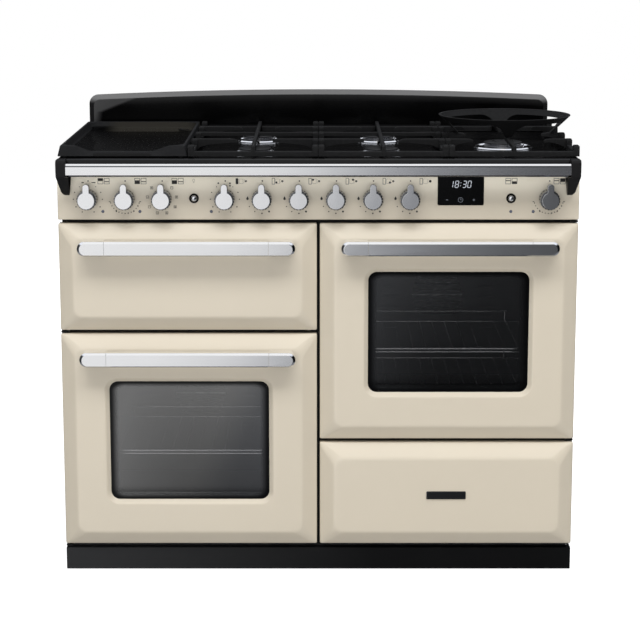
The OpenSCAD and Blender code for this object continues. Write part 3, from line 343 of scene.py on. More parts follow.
@dataclass(frozen=True)
class Metal(Finish):
    """Bare metal, polished or brushed in one direction."""

    tint: Colour
    roughness: float
    grain: Grain = Grain.NONE
    painted_shade_bands: Steps = ()

    def fill(self, shader: Shader) -> None:
        """Streaked roughness and a fine scratch relief along the grain.

        The lower edges, given as pairs of heights, are left dull from the press.

        Args:
            shader: the material's empty tree.
        """
        scale = 260.0 if self.grain is Grain.NONE else 1500.0
        streaks = shader.noise(scale, 3.0, self.grain.value)
        colour = shader.vary(shader.noise(14.0), self.tint, 0.97, 1.02)
        # Painted shade: dark bands at the given heights.
        if self.painted_shade_bands:
            *_, z = shader.axes()
            painted_edge_shade = [z.drop(metres(high - 0.4), metres(high))
                    * z.step(metres(low - 2), metres(low - 1)) for low, high in self.painted_shade_bands]
            colour = shader.blend(reduce(Signal.at_least, painted_edge_shade), colour, (0.2, 0.205, 0.22))
        shader.principled(
            Base_Color=colour,
            Metallic=1.0,
            Roughness=streaks * (0.5 * self.roughness) + self.roughness * 0.75,
            Normal=shader.bump(streaks, 0.000004),
        )


@dataclass(frozen=True)
class Cast(Finish):
    """Cast iron under matt enamel: dark, grainy, with slightly burnished high spots."""

    tint: Colour
    roughness: float
    grit: float = 0.00012
    sheen: float = 0.2

    def fill(self, shader: Shader) -> None:
        """Two sizes of grain in the relief and a mottled sheen.

        Args:
            shader: the material's empty tree.
        """
        pits, relief = shader.sand_cast(self.grit)
        shader.principled(
            Base_Color=shader.vary(pits, self.tint, 0.75, 1.5),
            Roughness=pits * 0.2 + (self.roughness - 0.1),
            Specular_IOR_Level=self.sheen,
            Normal=relief,
        )


@dataclass(frozen=True)
class Moulded(Finish):
    """Moulded plastic or rubber with a fine leather-like grain."""

    tint: Colour
    roughness: float
    grit: float = 0.00003
    sheen: float = 0.25

    def fill(self, shader: Shader) -> None:
        """Even tint, fine grain in relief and roughness.

        Args:
            shader: the material's empty tree.
        """
        grain = shader.noise(700.0, 3.0)
        shader.principled(
            Base_Color=shader.vary(grain, self.tint, 0.9, 1.15),
            Roughness=grain * 0.12 + (self.roughness - 0.06),
            Specular_IOR_Level=self.sheen,
            Normal=shader.bump(grain, self.grit),
        )


@dataclass(frozen=True)
class Spangle(Finish):
    """Zinc-coated sheet with the crystals that the zinc forms."""

    tint: Colour = (0.4, 0.41, 0.42)

    def fill(self, shader: Shader) -> None:
        """Each crystal has its own shade and gloss.

        Args:
            shader: the material's empty tree.
        """
        shade, gloss, _ = shader.axes(shader.cells(60.0, "Color"))
        shader.principled(
            Base_Color=shader.vary(shade, self.tint, 0.8, 1.15),
            Metallic=0.85,
            Roughness=gloss * 0.2 + 0.32,
        )


@dataclass(frozen=True)
class SplashEnamel(Finish):
    """Glossy black enamel whose sloping top border catches the light from above."""

    face_y: float = SPLASH_Y
    # Painted highlight: the top border is painted light grey where light from above would catch
    # it.
    border: Colour = (0.165, 0.165, 0.167)
    rim: Colour = (0.011, 0.011, 0.0115)

    def fill(self, shader: Shader) -> None:
        """Border by depth and height; a soft sheen below it and at the left end.

        Args:
            shader: the material's empty tree.
        """
        x, y, z = shader.axes()
        face = metres(self.face_y, Along.Y)
        slope = y.step(face + 0.0004, face + 0.0012) * y.drop(face + 0.0083, face + 0.009)
        across = x - SHIFT[0] / 1000
        crown, arch = 0.981, 0.044
        # Painted sheen: a faint light band below the top border and a brighter patch at the left
        # end, with a slanted edge.
        under = (z - crown + across * across * arch).step(-0.02, 0.002)
        line = ((z - 0.938) * 2.5 - 0.517).at_least((z - 0.9) * 0.15 - 0.523)
        left = (across - line).drop(-0.011, 0.011)
        sheen = (under * 0.016 + left * 0.05).at_most(0.05) * (1.0 - slope)
        dark = shader.blend(sheen, (0.0012, 0.0012, 0.0013), (1.0, 1.0, 1.02))
        # Only the top of the border takes the painted highlight; its sides keep the rim colour.
        edge = shader.blend(z.step(0.957, 0.972), self.rim, self.border)
        shader.principled(
            Base_Color=shader.blend(slope, dark, edge),
            Roughness=shader.noise(24.0, 3.0) * 0.05 + 0.1,
            Specular_IOR_Level=0.1,
            Normal=shader.orange_peel(0.00002),
        )


@dataclass(frozen=True)
class Graded(Finish):
    """Black sheet enamel that is lighter towards its left end."""

    low: Colour = (0.0035, 0.0036, 0.0039)
    high: Colour = (0.029, 0.0295, 0.031)

    def fill(self, shader: Shader) -> None:
        """Straight grade across the width, with fine peel.

        Args:
            shader: the material's empty tree.
        """
        x, *_ = shader.axes()
        # Painted reflection: the base colour is lighter at the left end, as if it mirrored bright
        # surroundings there.
        painted_sheen_grade = (1.0 - x.step(-0.55, 0.12, "LINEAR")) * 0.95 + shader.noise(9.0) * 0.08
        shader.principled(
            Base_Color=shader.blend(painted_sheen_grade, self.low, self.high),
            Roughness=shader.noise(24.0, 3.0) * 0.06 + 0.35,
            Specular_IOR_Level=0.08,
            Normal=shader.orange_peel(0.00003),
        )


@dataclass(frozen=True)
class SeasonedIron(Finish):
    """Griddle iron: a dark oiled floor and a back wall browned by heat."""

    tint: Colour = (0.0165, 0.0168, 0.0178)
    # The floor colour is painted shade, the back wall colour a painted sheen.
    floor_painted_shade: Colour = (0.0014, 0.0014, 0.0015)
    wall_painted_sheen: Colour = (0.027, 0.0252, 0.0213)
    front_y: float = 40.0
    back_y: float = 497.0
    floor_z: float = 904.0
    rim_z: float = 917.5
    left_x: float = -SIDE_X

    def fill(self, shader: Shader) -> None:
        """Zones by place: the floor, the back wall and the rest, all with casting grain.

        Args:
            shader: the material's empty tree.
        """
        x, y, z = shader.axes()
        wander = shader.noise(30.0, 3.0) * 0.006 - 0.003
        # Painted sheen on the back wall, which its left end is kept out of as painted shadow.
        back = (y + wander).step(metres(self.back_y - 3, Along.Y),
                                 metres(self.back_y + 5, Along.Y))
        lit = (x + wander).step(metres(self.left_x + 40, Along.X),
                                metres(self.left_x + 85, Along.X))
        inside = z.drop(metres(self.rim_z), metres(self.rim_z + 1.3)) * back * lit
        # Painted shade over the floor.
        floor = z.drop(metres(self.floor_z + 3), metres(self.floor_z + 7)) * (
            y.step(metres(self.front_y, Along.Y), metres(self.front_y + 12, Along.Y))
            * x.step(metres(self.left_x + 12, Along.X), metres(self.left_x + 20, Along.X)))
        pits, relief = shader.sand_cast(0.00008)
        base = shader.vary(pits, self.tint, 0.8, 1.3)
        shader.principled(
            Base_Color=shader.blend(inside, shader.blend(floor, base, self.floor_painted_shade),
                                    self.wall_painted_sheen),
            Roughness=pits * 0.2 + 0.38 - floor * 0.24,
            Specular_IOR_Level=0.025,
            Normal=relief,
        )


@dataclass(frozen=True)
class WindowGlass(Finish):
    """Smoked door glass with a printed black border that fades inwards."""

    centre: Pair
    mirror: float = 1.0
    # Share of the mirror coat lost above the foot, a painted shadow.
    sag: float = 0.45
    half: Pair = WINDOW_HALF
    front_y: float = -13.8

    def fill(self, shader: Shader) -> None:
        """Border from the distance to a rounded rectangle; only the front face is mirrored.

        The mirror coat fades out over the last 20 mm before the lip and thins to the foot.

        Args:
            shader: the material's empty tree.
        """
        x, y, z = shader.axes()
        half_w, half_h = (half / 1000 for half in self.half)
        zone, squash = 0.032, 1.7
        u = (x - metres(self.centre[0], Along.X)) / half_w
        v = (z - metres(self.centre[1])) / half_h
        across = (abs(u) - 1.0) * half_w + zone
        up = (abs(v) - 1.0) * (half_h * squash) + zone
        out_x, out_z = across.at_least(0.0), up.at_least(0.0)
        edge = (out_x * out_x + out_z * out_z).root() + across.at_least(up).at_most(0.0)
        front = y.drop(metres(self.front_y + 0.3, Along.Y), metres(self.front_y + 0.8, Along.Y))
        clear = front * 0.36 + 0.04
        alpha = edge.step(0.014, 0.023) * (1.0 - clear) + clear
        foot = (v + 1.0) * half_h
        # Painted reflection gradient: the mirror coat is weaker towards the lower middle and
        # thinner above the foot, a painted shadow.
        shade = (v * 0.2 + u * u * 0.36 + 0.64).at_most(1.0)
        shade = shade * (1.0 - foot.drop(0.012, 0.03) * foot.step(0.009, 0.012) * self.sag)
        # Painted highlight: a thin bright line just above the foot.
        line = foot.step(0.0112, 0.0122) * foot.drop(0.0132, 0.0142)
        # Painted shade: the mirror fades out over the printed border.
        fade = (1.0 - edge.step(0.0125, 0.0315) * 0.95) * shade
        fade = fade + line * abs(u).drop(0.88, 0.96) * 0.3
        shader.principled(
            Base_Color=(0.002, 0.0021, 0.0023, 1.0),
            Roughness=shader.noise(40.0) * 0.02 + 0.05,
            Specular_IOR_Level=0.05,
            Coat_Weight=front * fade * clear / alpha * self.mirror,
            Coat_IOR=5.0,
            Coat_Tint=(0.94, 0.97, 1.0, 1.0),
            Coat_Roughness=0.02,
            Alpha=alpha,
        )


@dataclass(frozen=True)
class Print(Finish):
    """Fired ink of the panel symbols."""

    tint: Colour = (0.014, 0.013, 0.012)

    def fill(self, shader: Shader) -> None:
        """Flat ink with a slight unevenness.

        Args:
            shader: the material's empty tree.
        """
        uneven = shader.noise(300.0)
        shader.principled(Base_Color=shader.vary(uneven, self.tint, 0.85, 1.15),
                          Roughness=uneven * 0.1 + 0.35)


@dataclass(frozen=True)
class Glow(Finish):
    """Lit segments of the clock."""

    tint: Colour = (0.74, 0.79, 0.88)
    power: float = 0.85

    def fill(self, shader: Shader) -> None:
        """Dark body that gives light, a little uneven as lit segments are.

        Args:
            shader: the material's empty tree.
        """
        shader.principled(
            Base_Color=(0.02, 0.02, 0.02, 1.0),
            Roughness=0.4,
            Emission_Color=shader.vary(shader.noise(250.0, 1.0), self.tint, 0.85, 1.0),
            Emission_Strength=self.power,
        )


CREAM = Enamel("cream_gloss_enamel", "cream_enamel", (0.65, 0.585, 0.475))
# Painted light: the panel enamel turns lighter near its top.
PANEL = Enamel("panel_enamel", "cream_enamel", (0.615, 0.553, 0.448),
               upper=(0.98, 0.915, 0.765))
BLACK = Enamel("black_gloss_enamel", "black_enamel", (0.004, 0.004, 0.0043), 0.14, 0.0,
               0.00002, sheen=0.22)
SIDE = Enamel("black_side_enamel", "black_enamel", (0.008, 0.008, 0.0085), 0.35, 0.0,
              0.00004, sheen=0.15)
OVEN = Enamel("oven_enamel", "dark_enamel", (0.032, 0.033, 0.036), 0.3, 0.1, flecks=0.3)
CLOCK_GLASS = Enamel("clock_glass", "black_glass", (0.002, 0.002, 0.0022), 0.06, 0.0,
                     0.000004, sheen=0.25)
SPLASH = SplashEnamel("splash_enamel", "black_enamel")
# The plinth carries a painted reflection that lightens its left end.
PLINTH = Graded("plinth_enamel", "black_enamel")
# Painted shade bands under the handles, under the rail and at a crease of its top.
SATIN = Metal("satin_bar", "brushed", (0.93, 0.935, 0.95), 0.13, Grain.ALONG_X,
              ((461.6, 463.0), (697.1, 698.5), (860.0, 864.8), (882.9, 884.2)))
FACE = Metal("spun_knob_face", "chrome", (0.93, 0.935, 0.95), 0.13, Grain.ALONG_X)
PLATE = Metal("bare_plate", "brushed", (0.05, 0.052, 0.056), 0.3, Grain.ALONG_X)
STEEL = Metal("plain_steel", "steel", (0.55, 0.55, 0.57), 0.3, Grain.ALONG_Y)
CHROME = Metal("polished_chrome", "chrome", (0.9, 0.905, 0.92), 0.05)
DARK_CHROME = Metal("dark_chrome", "chrome", (0.2, 0.205, 0.215), 0.14)
WIRE = Metal("bright_wire", "chrome", (0.86, 0.86, 0.88), 0.2)
ELEMENT = Metal("oxidised_sheath", "hot_element", (0.1, 0.095, 0.095), 0.5)
HEAD = Metal("burner_head_alloy", "aluminium", (0.26, 0.26, 0.27), 0.3)
BRASS = Metal("turned_brass", "brass", (0.62, 0.46, 0.2), 0.28)
ZINC = Spangle("zinc_sheet", "grey_sheet")
IRON = Cast("matt_cast_iron", "cast_iron", (0.0132, 0.0133, 0.0138), 0.5, sheen=0.05)
CAP = Cast("burner_cap_enamel", "cast_iron", (0.008, 0.008, 0.0085), 0.34, 0.00004)
GRIDDLE = SeasonedIron("seasoned_griddle", "cast_iron")
CASTING = Moulded("satin_black_casting", "black_enamel", (0.011, 0.011, 0.0115), 0.34,
                  sheen=0.11)
SEAL = Moulded("woven_seal", "seal", (0.02, 0.02, 0.021), 0.75, 0.0002)
NEON = Moulded("neon_lens", "lamp", (0.115, 0.125, 0.16), 0.15, 0.000005)
INK = Print("symbol_ink", "black_glass")
FAINT = Print("outline_ink", "black_glass", (0.1, 0.09, 0.074))
LIT = Glow("clock_segments", "lamp")
DIM = Glow("touch_icons", "lamp", (0.5, 0.55, 0.65), 0.35)


# Surfaces


@dataclass
class Shell:
    """A mesh in the making: points in millimetres and faces as index tuples."""

    points: np.ndarray
    faces: list[tuple[int, ...]]

    def __add__(self, other: "Shell") -> "Shell":
        """Both shells in one.

        Args:
            other: the shell that is added.

        Returns:
            One shell, with the other's faces numbered on.
        """
        shift = len(self.points)
        moved = [tuple(i + shift for i in f) for f in other.faces]
        return Shell(np.vstack([self.points, other.points]), self.faces + moved)

    def mirrored(self) -> "Shell":
        """The shell on the other side of the plane X = 0, with its faces turned to match."""
        return Shell(self.points * [-1, 1, 1], [tuple(reversed(f)) for f in self.faces])

    def moved(self, x: float = 0.0, y: float = 0.0, z: float = 0.0) -> "Shell":
        """The shell shifted by an offset."""
        return Shell(self.points + [x, y, z], self.faces)


def joined(shells: Iterable[Shell]) -> Shell:
    """All the shells in one."""
    return reduce(Shell.__add__, shells)


def full_turn(sides: int) -> np.ndarray:
    """Angles of a closed ring."""
    return np.linspace(0, TURN, sides, endpoint=False)


def polar(r: Union[float, np.ndarray], t: np.ndarray) -> np.ndarray:
    """Points (r cos t, r sin t)."""
    return np.stack([r * np.cos(t), r * np.sin(t)], axis=1)


def outline(x0: float, x1: float, z0: float, z1: float,
            radii: Union[float, Sequence[float]], corner_steps: int = 9,
            side_steps: int = 1) -> np.ndarray:
    """Rounded rectangle as a closed loop, anticlockwise from its bottom right corner.

    Each corner is a quarter circle c + r (cos t, sin t), and each side is cut into equal
    steps between the ends of two corners.

    Args:
        x0, x1, z0, z1: the sides.
        radii: one radius, or four for bottom right, top right, top left, bottom left.
        corner_steps: points on each corner.
        side_steps: parts of each side.

    Returns:
        An array of points (x, z).
    """
    r = np.broadcast_to(np.asarray(radii, float), (4,))
    cx = np.array([x1 - r[0], x1 - r[1], x0 + r[2], x0 + r[3]])
    cz = np.array([z0 + r[0], z1 - r[1], z1 - r[2], z0 + r[3]])
    start = np.array([-0.25, 0.0, 0.25, 0.5]) * TURN
    t = start[:, None] + np.linspace(0, TURN / 4, corner_steps)[None, :]
    corners = np.stack([cx[:, None] + r[:, None] * np.cos(t),
                        cz[:, None] + r[:, None] * np.sin(t)], axis=-1)
    after = np.roll(corners[:, 0], -1, axis=0)
    share = np.linspace(0, 1, side_steps + 1)[1:-1, None]
    sides = corners[:, -1:] * (1 - share) + after[:, None] * share
    return np.concatenate([corners, sides], axis=1).reshape(-1, 2)


def drawn_in(box: Box, inset: float, *rest: Union[float, int]) -> np.ndarray:
    """Rounded rectangle in a box, drawn in by an inset; the rest is as in outline."""
    x0, x1, z0, z1 = box
    return outline(x0 + inset, x1 - inset, z0 + inset, z1 - inset, *rest)


def stand(loop: np.ndarray, level: Union[float, np.ndarray], along: Along = Along.Y) -> np.ndarray:
    """Put a flat loop into space.

    Args:
        loop: points in the plane.
        level: place on the third axis, one value or one for each point.
        along: the third axis.

    Returns:
        An array of points (x, y, z).
    """
    out = np.empty((len(loop), 3))
    for column, values in zip(along.value, (loop[:, 0], loop[:, 1], level)):
        out[:, column] = values
    return out


def loft(rings: Iterable[np.ndarray], start: bool = True, end: bool = True,
         wrap: bool = False) -> Shell:
    """Skin over rings of equal length: face (i, j) joins points j and j+1 of rings i and i+1.

    Args:
        rings: closed rings of points.
        start: close the first ring with one face.
        end: close the last ring with one face.
        wrap: join the last ring to the first.

    Returns:
        The skin.
    """
    grid = np.stack(list(rings))
    rows, cols = grid.shape[:2]
    i = np.arange(rows if wrap else rows - 1)[:, None]
    j = np.arange(cols)[None, :]
    below, above, after = i * cols, ((i + 1) % rows) * cols, (j + 1) % cols
    quads = np.stack([below + j, below + after, above + after, above + j], axis=-1)
    faces = [tuple(f) for f in quads.reshape(-1, 4).tolist()]
    if start and not wrap:
        faces.append(tuple(range(cols))[::-1])
    if end and not wrap:
        faces.append(tuple(range((rows - 1) * cols, rows * cols)))
    return Shell(grid.reshape(-1, 3), faces)


def extrude(loop: np.ndarray, low: float, high: float, along: Along = Along.Y) -> Shell:
    """Straight prism: the loop at two levels, closed at both ends."""
    return loft([stand(loop, low, along), stand(loop, high, along)])


def revolve(profile: Steps, centre: Sequence[float], along: Along = Along.Z,
            sides: int = 48) -> Shell:
    """Surface of revolution: point (r, h) goes round to (r cos t, r sin t, h).

    Args:
        profile: points (radius, height); a radius of 0 is drawn as a tiny closed ring.
        centre: the place of the axis at height 0.
        along: the axis.
        sides: points round the axis.

    Returns:
        The closed surface.
    """
    t = full_turn(sides)
    return loft(stand(polar(max(r, 0.02), t), h, along) for r, h in profile).moved(*centre)


def plate(box: Box, steps: Steps, r: float, least: float, corner_steps: int,
          **ends: bool) -> Shell:
    """Plate with rounded corners, drawn in by steps (inset, y) from its back to its face.

    Args:
        box: its sides x0, x1, z0, z1.
        steps: insets and depths.
        r: corner radius at no inset.
        least: smallest corner radius.
        corner_steps: points on each corner.
        ends: which ends are closed, as in loft.

    Returns:
        The plate.
    """
    return loft((stand(drawn_in(box, i, max(r - i, least), corner_steps), y)
                 for i, y in steps), **ends)


def put(name: str, data: bpy.types.ID) -> bpy.types.Object:
    """Put an object with the given data into the scene.

    Args:
        name: the object's name.
        data: its mesh, camera or lamp.

    Returns:
        The object.
    """
    thing = bpy.data.objects.new(name, data)
    bpy.context.scene.collection.objects.link(thing)
    return thing


def write_piece(name: str, shell: Shell, finish: Finish, body: str,
                stands_for: Sequence[str] = (), crease: float = 32.0, bevel: float = 0.0,
                wall: float = 0.0, turn: bool = True) -> None:
    """Write a shell as an object of the frame.

    Args:
        name: the piece's name.
        shell: its surface.
        finish: its finish.
        body: the body that it rides on.
        stands_for: frame nodes that it replaces.
        crease: edges sharper than this many degrees stay crisp.
        bevel: width of the rounding on sharp edges, in millimetres.
        wall: thickness given to an open shell, inwards, in millimetres.
        turn: True if the normals of a closed shell are made to point outwards.
    """
    mesh = bpy.data.meshes.new(name)
    mesh.from_pydata(((shell.points + SHIFT) / 1000).tolist(), [], shell.faces)
    if turn:
        work = bmesh.new()
        work.from_mesh(mesh)
        bmesh.ops.recalc_face_normals(work, faces=work.faces)
        work.to_mesh(mesh)
        work.free()
    mesh.shade_smooth()
    mesh.set_sharp_from_angle(angle=math.radians(crease))
    piece = put(name, mesh)
    mesh.materials.append(finish.material())
    if wall > 0:
        thick = piece.modifiers.new("wall", "SOLIDIFY")
        thick.thickness = wall / 1000
        thick.offset = -1
        thick.use_even_offset = True
    if bevel > 0:
        rounding = piece.modifiers.new("rounding", "BEVEL")
        rounding.width = bevel / 1000
        rounding.segments = 3
        rounding.limit_method = "ANGLE"
        rounding.angle_limit = math.radians(28)
    piece.modifiers.new("flat_faces", "WEIGHTED_NORMAL").keep_sharp = True
    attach(piece, body)
    if stands_for:
        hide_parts(*stands_for)
    LOG.info("made %s: %d points", name, len(shell.points))


# Fronts


@dataclass
class PressedFront:
    """Door or drawer front pressed from sheet, with a wide bevel round a raised field."""

    name: str
    node: str
    body: str
    box: Box
    window: Optional[Pair] = None
    bevel_w: float = 31.0
    rise: float = 22.0
    rim_r: float = 4.0
    field_r: float = 21.0
    wall_end: float = 18.0
    softness: float = 1.1
    slots: tuple[float, ...] = ()
    slot_half: float = 3.2
    thick: float = 1.6

    def ring(self, inset: float, y: float) -> np.ndarray:
        """Ring of the front at an inset from its edge; the corners grow rounder inwards.

        Their radius goes from rim_r to field_r with s^0.6, where s is the inset's share of
        the bevel.

        Args:
            inset: distance from the edge.
            y: depth of the ring.

        Returns:
            An array of points (x, y, z).
        """
        share = min(max(inset / self.bevel_w, 0.0), 1.3) ** 0.6
        r = self.rim_r + (self.field_r - self.rim_r) * share - (0.5 if inset < 0.1 else 0.0)
        loop = drawn_in(self.box, inset, r, 12)
        return self.slotted(loop, y) if self.slots else stand(loop, y)

    def slotted(self, loop: np.ndarray, y: float) -> np.ndarray:
        """Ring with a notch for each hinge ear in the lower wall.

        Args:
            loop: outline without notches.
            y: depth of the ring; inside a notch it stays in front of the ear.

        Returns:
            Ring with four more points for each notch.
        """
        step = np.roll(loop, -1, axis=0)[:, 0] - loop[:, 0]
        low = loop[:, 1] < sum(self.box[2:]) / 2
        k = int(np.argmax(np.where(low, np.abs(step), 0)))
        h, slant, usable = self.slot_half, 0.8, 0.4975
        xs = np.sort([x + d for x in self.slots for d in (-h - slant, -h, h, h + slant)])
        centre = sum(self.box[:2]) / 2
        share = min(1.0, abs(step[k]) * usable / np.max(np.abs(xs - centre)))
        extra = np.column_stack([centre + (xs - centre) * share, np.full(len(xs), loop[k, 1])])
        full = np.insert(loop, k + 1, extra, axis=0)
        depth = np.full(len(full), float(y))
        inner = np.min(np.abs(xs[:, None] - np.array(self.slots)[None, :]), axis=1) < h + 0.1
        in_front = 0.48 + 0.01 * y
        depth[k + 1:k + 1 + len(xs)][inner] = min(y, in_front)
        return stand(full, depth)

    def height(self, inset: float) -> float:
        """Depth of the bevel at an inset: a slope that flows softly into the field.

        It is the smooth minimum of the slope and the rise, -k log(e^(-a/k) + e^(-b/k)).

        Args:
            inset: distance from the edge.

        Returns:
            The depth, negative towards the front.
        """
        slope = self.rise / self.bevel_w * inset
        k = self.softness
        return -(min(slope, self.rise) - k * math.log1p(math.exp(-abs(slope - self.rise) / k)))

    def lip_rings(self) -> list[np.ndarray]:
        """Rings that lead from the field down to the glass, each a rounded rectangle.

        Returns:
            The rings, the widest first.
        """
        cx, cz = self.window
        hx, hz = WINDOW_HALF
        steps = [(18, 0.0, 32), (12.6, 0.0, 29), (11.2, 0.25, 27.8), (9.8, 0.95, 26.4),
                 (8.0, 2.4, 24.6), (6.0, 4.3, 22.6), (4.0, 6.3, 20.8), (2.2, 8.0, 19.1),
                 (0.8, 9.2, 17.8), (0.0, 9.6, 17)]
        box = (cx - hx, cx + hx, cz - hz, cz + hz)
        return [stand(drawn_in(box, -g, r, 12), self.height(60) + d) for g, d, r in steps]

    def build(self) -> None:
        """Make the skin from rings that run from the wall over the bevel to the field."""
        steps = [(0.0, self.wall_end), (0.0, 2.2), (0.25, 1.1), (0.9, 0.15)]
        if self.slots:
            steps = [(1.0, 2.4), (1.0, self.wall_end)] + steps
        steps += [(i, self.height(i))
                  for i in (2, 6, 12, 18, 23, 26, 28, 29.5, 31, 32.5, 34, 36, 39)]
        rings = [self.ring(*s) for s in steps] + (self.lip_rings() if self.window else [])
        write_piece(f"skin_{self.name}", loft(rings, start=False, end=not self.window), CREAM,
                    self.body, [self.node], crease=40, wall=self.thick, turn=False)


@dataclass
class BarHandle:
    """Flat bar handle whose two end pieces reach back to the door."""

    name: str
    node: str
    body: str
    centre_x: float
    centre_z: float
    length: float = 453.0
    height: float = 30.4
    front: float = -62.0
    depth: float = 22.0
    chamfer: float = 3.4
    end_l: float = 55.6
    door_y: float = -21.6
    seam: float = 0.5
    over: float = 1.3
    under: float = 0.62
    sideways: float = 1.45
    end_r: float = 0.3

    def section(self, x0: float, x1: float, radii: Pair,
                chamfers: Pair, back: float) -> Shell:
        """Stretch of the bar with a chamfer round its front.

        Args:
            x0, x1: its ends from the handle's middle.
            radii: corner radii of the left and right end.
            chamfers: share of the chamfer at the left and right end.
            back: Y of its back.

        Returns:
            The closed bar.
        """
        h, c, f = self.height / 2, self.chamfer, self.front

        def ring(inset: float, y: float) -> np.ndarray:
            """Outline drawn in by an inset.

            Args:
                inset: millimetres by which it is drawn in.
                y: depth of the ring.

            Returns:
                An array of points (x, y, z).
            """
            left, right = (self.sideways * share * inset for share in chamfers)
            a, b = (max(r - inset, 0.2) for r in radii)
            return stand(outline(x0 + left, x1 - right, self.under * inset - h,
                                 h - self.over * inset, (b, b, a, a), 14), y)

        steps = [(0.8, back), (0.15, back - 0.5), (0.0, back - 1.2), (0.0, f + c + 0.5),
                 (0.12, f + c), (0.4, f + c - 0.4), (c - 0.5, f + 0.5), (c, f + 0.12),
                 (c + 0.6, f)]
        return loft(ring(*s) for s in steps).moved(self.centre_x, 0, self.centre_z)

    def build(self) -> None:
        """Make the bar and its two end pieces."""
        half, inner = self.length / 2, self.length / 2 - self.end_l
        r, small = self.height / 2 - 0.01, self.end_r
        back = self.front + self.depth
        parts = {
            "bar": self.section(self.seam - inner, inner - self.seam, (small, small), (0, 0),
                                back),
            "end_left": self.section(-half, -inner, (r, small), (1, 0), self.door_y),
            "end_right": self.section(inner, half, (small, r), (0, 1), self.door_y)}
        for part, shell in parts.items():
            write_piece(f"{self.name}_{part}", shell, SATIN, self.body,
                        [self.node] if part == "bar" else (), crease=28)


@dataclass
class BarePlate:
    """Small blank plate on the drawer front."""

    box: Box = (231.0, 315.6, 164.5, 181.8)
    door_y: float = -21.9
    thick: float = 2.2
    frame_w: float = 1.3

    def build(self) -> None:
        """Make the plate, its raised border and a sunk field."""
        y, f, w = self.door_y, self.door_y - self.thick, self.frame_w
        edge = plate(self.box, [(0, y), (0, f + 0.4), (0.15, f + 0.1), (0.45, f), (w, f),
                                (w + 0.1, f + 0.7)], 2.2, 0.4, 6, end=False)
        write_piece("plate_border", edge, DARK_CHROME, "drawer", crease=30, turn=False)
        sunk = plate(self.box, [(w - 0.2, y), (w - 0.2, f + 0.6)], 2.2, 0.4, 6)
        write_piece("plate_field", sunk, PLATE, "drawer", crease=30)


# Control panel


@dataclass
class Knob:
    """Control knob: fluted body, and a flat face with a pointer tab."""

    body: str
    x: float
    z: float = KNOB_Z
    r: float = 21.0
    body_l: float = 28.0
    disc_r: float = 18.0
    face: float = 38.0
    tab_half: float = 7.0
    reach: float = 34.6
    tab_back: float = 24.0
    flutes: int = 20
    bite: float = 1.3

    def keyhole(self, inset: float) -> np.ndarray:
        """Outline of the face: a disc with a round-ended tab, drawn in by an inset.

        The disc runs anticlockwise between the two points where the tab leaves it, and the
        tab ends in a half circle.

        Args:
            inset: millimetres by which it is drawn in.

        Returns:
            An array of points (x, z).
        """
        r, w = self.disc_r - inset, self.tab_half - inset
        meet = math.asin(w / r)
        disc = polar(r, np.linspace(TURN / 4 + meet, TURN * 1.25 - meet, 64))
        tab = polar(w, np.linspace(0, TURN / 2, 20)) + [0, self.reach - self.tab_half]
        return np.concatenate([disc, tab])

    def fluted(self) -> Shell:
        """Body whose radius dips in flutes: r(t) = r - bite (1/2 + 1/2 cos nt)^4.

        Returns:
            The closed body.
        """
        t = full_turn(12 * self.flutes)
        dip = self.bite * (0.5 + 0.5 * np.cos(self.flutes * t)) ** 4
        r, hub, end = self.r, self.disc_r - 4, -self.body_l
        steps = [(hub, -0.5, 0), (r - 0.6, -0.5, 0), (r, -1.2, 0), (r, -7.5, 0), (r, -9.0, 1),
                 (r, end + 1.4, 1), (r - 0.3, end + 0.4, 1), (r - 1.0, end, 1), (hub, end, 0)]
        return loft(stand(polar(radius - dip * share, t), y) for radius, y, share in steps)

    def build(self) -> None:
        """Make the body with its spindle, and the face."""
        back, front = -self.tab_back, -self.face
        shapes = {
            "plate": [(0.8, back), (0.2, back - 0.2), (0.0, back - 0.8), (0.0, front + 1.5),
                      (0.1, front + 0.9), (0.5, front + 0.5), (1.6, front + 0.5)],
            "face": [(0.35, front + 0.6), (0.35, front + 0.35), (0.6, front + 0.1),
                     (1.1, front)]}
        parts = {"barrel": self.fluted() + revolve([(2.9, -0.6), (2.9, 19.0)], (0, 0, 0),
                                                   Along.Y, 20)}
        parts |= {part: loft(stand(self.keyhole(i), y) for i, y in steps)
                  for part, steps in shapes.items()}
        for part, shell in parts.items():
            write_piece(f"{self.body}_{part}", shell.moved(self.x, 0, self.z),
                        FACE if part == "face" else DARK_CHROME, self.body,
                        [self.body] if part == "barrel" else (), crease=30)


@dataclass
class PushButton:
    """Domed push button in a glossy black collar."""

    body: str
    x: float
    z: float = 810.5

    def build(self) -> None:
        """Make the collar on the panel and the dome that moves."""
        place = (self.x, 0, self.z)
        collar = [(6.4, 2.0), (6.4, -1.6), (6.9, -2.6), (8.0, -3.4), (9.2, -3.4), (10.0, -2.5),
                  (10.3, -1.2), (10.3, 2.0), (6.4, 2.0)]
        write_piece(f"{self.body}_collar", revolve(collar, place, Along.Y, 56), CLOCK_GLASS,
                    "cooker", crease=40)
        dome = [(5.9, 12.0), (5.9, -3.2), (5.7, -3.9), (5.0, -4.7), (3.6, -5.4), (1.9, -5.8),
                (0.0, -5.9)]
        write_piece(f"{self.body}_dome", revolve(dome, place, Along.Y, 40), CHROME, self.body,
                    [self.body], crease=40)


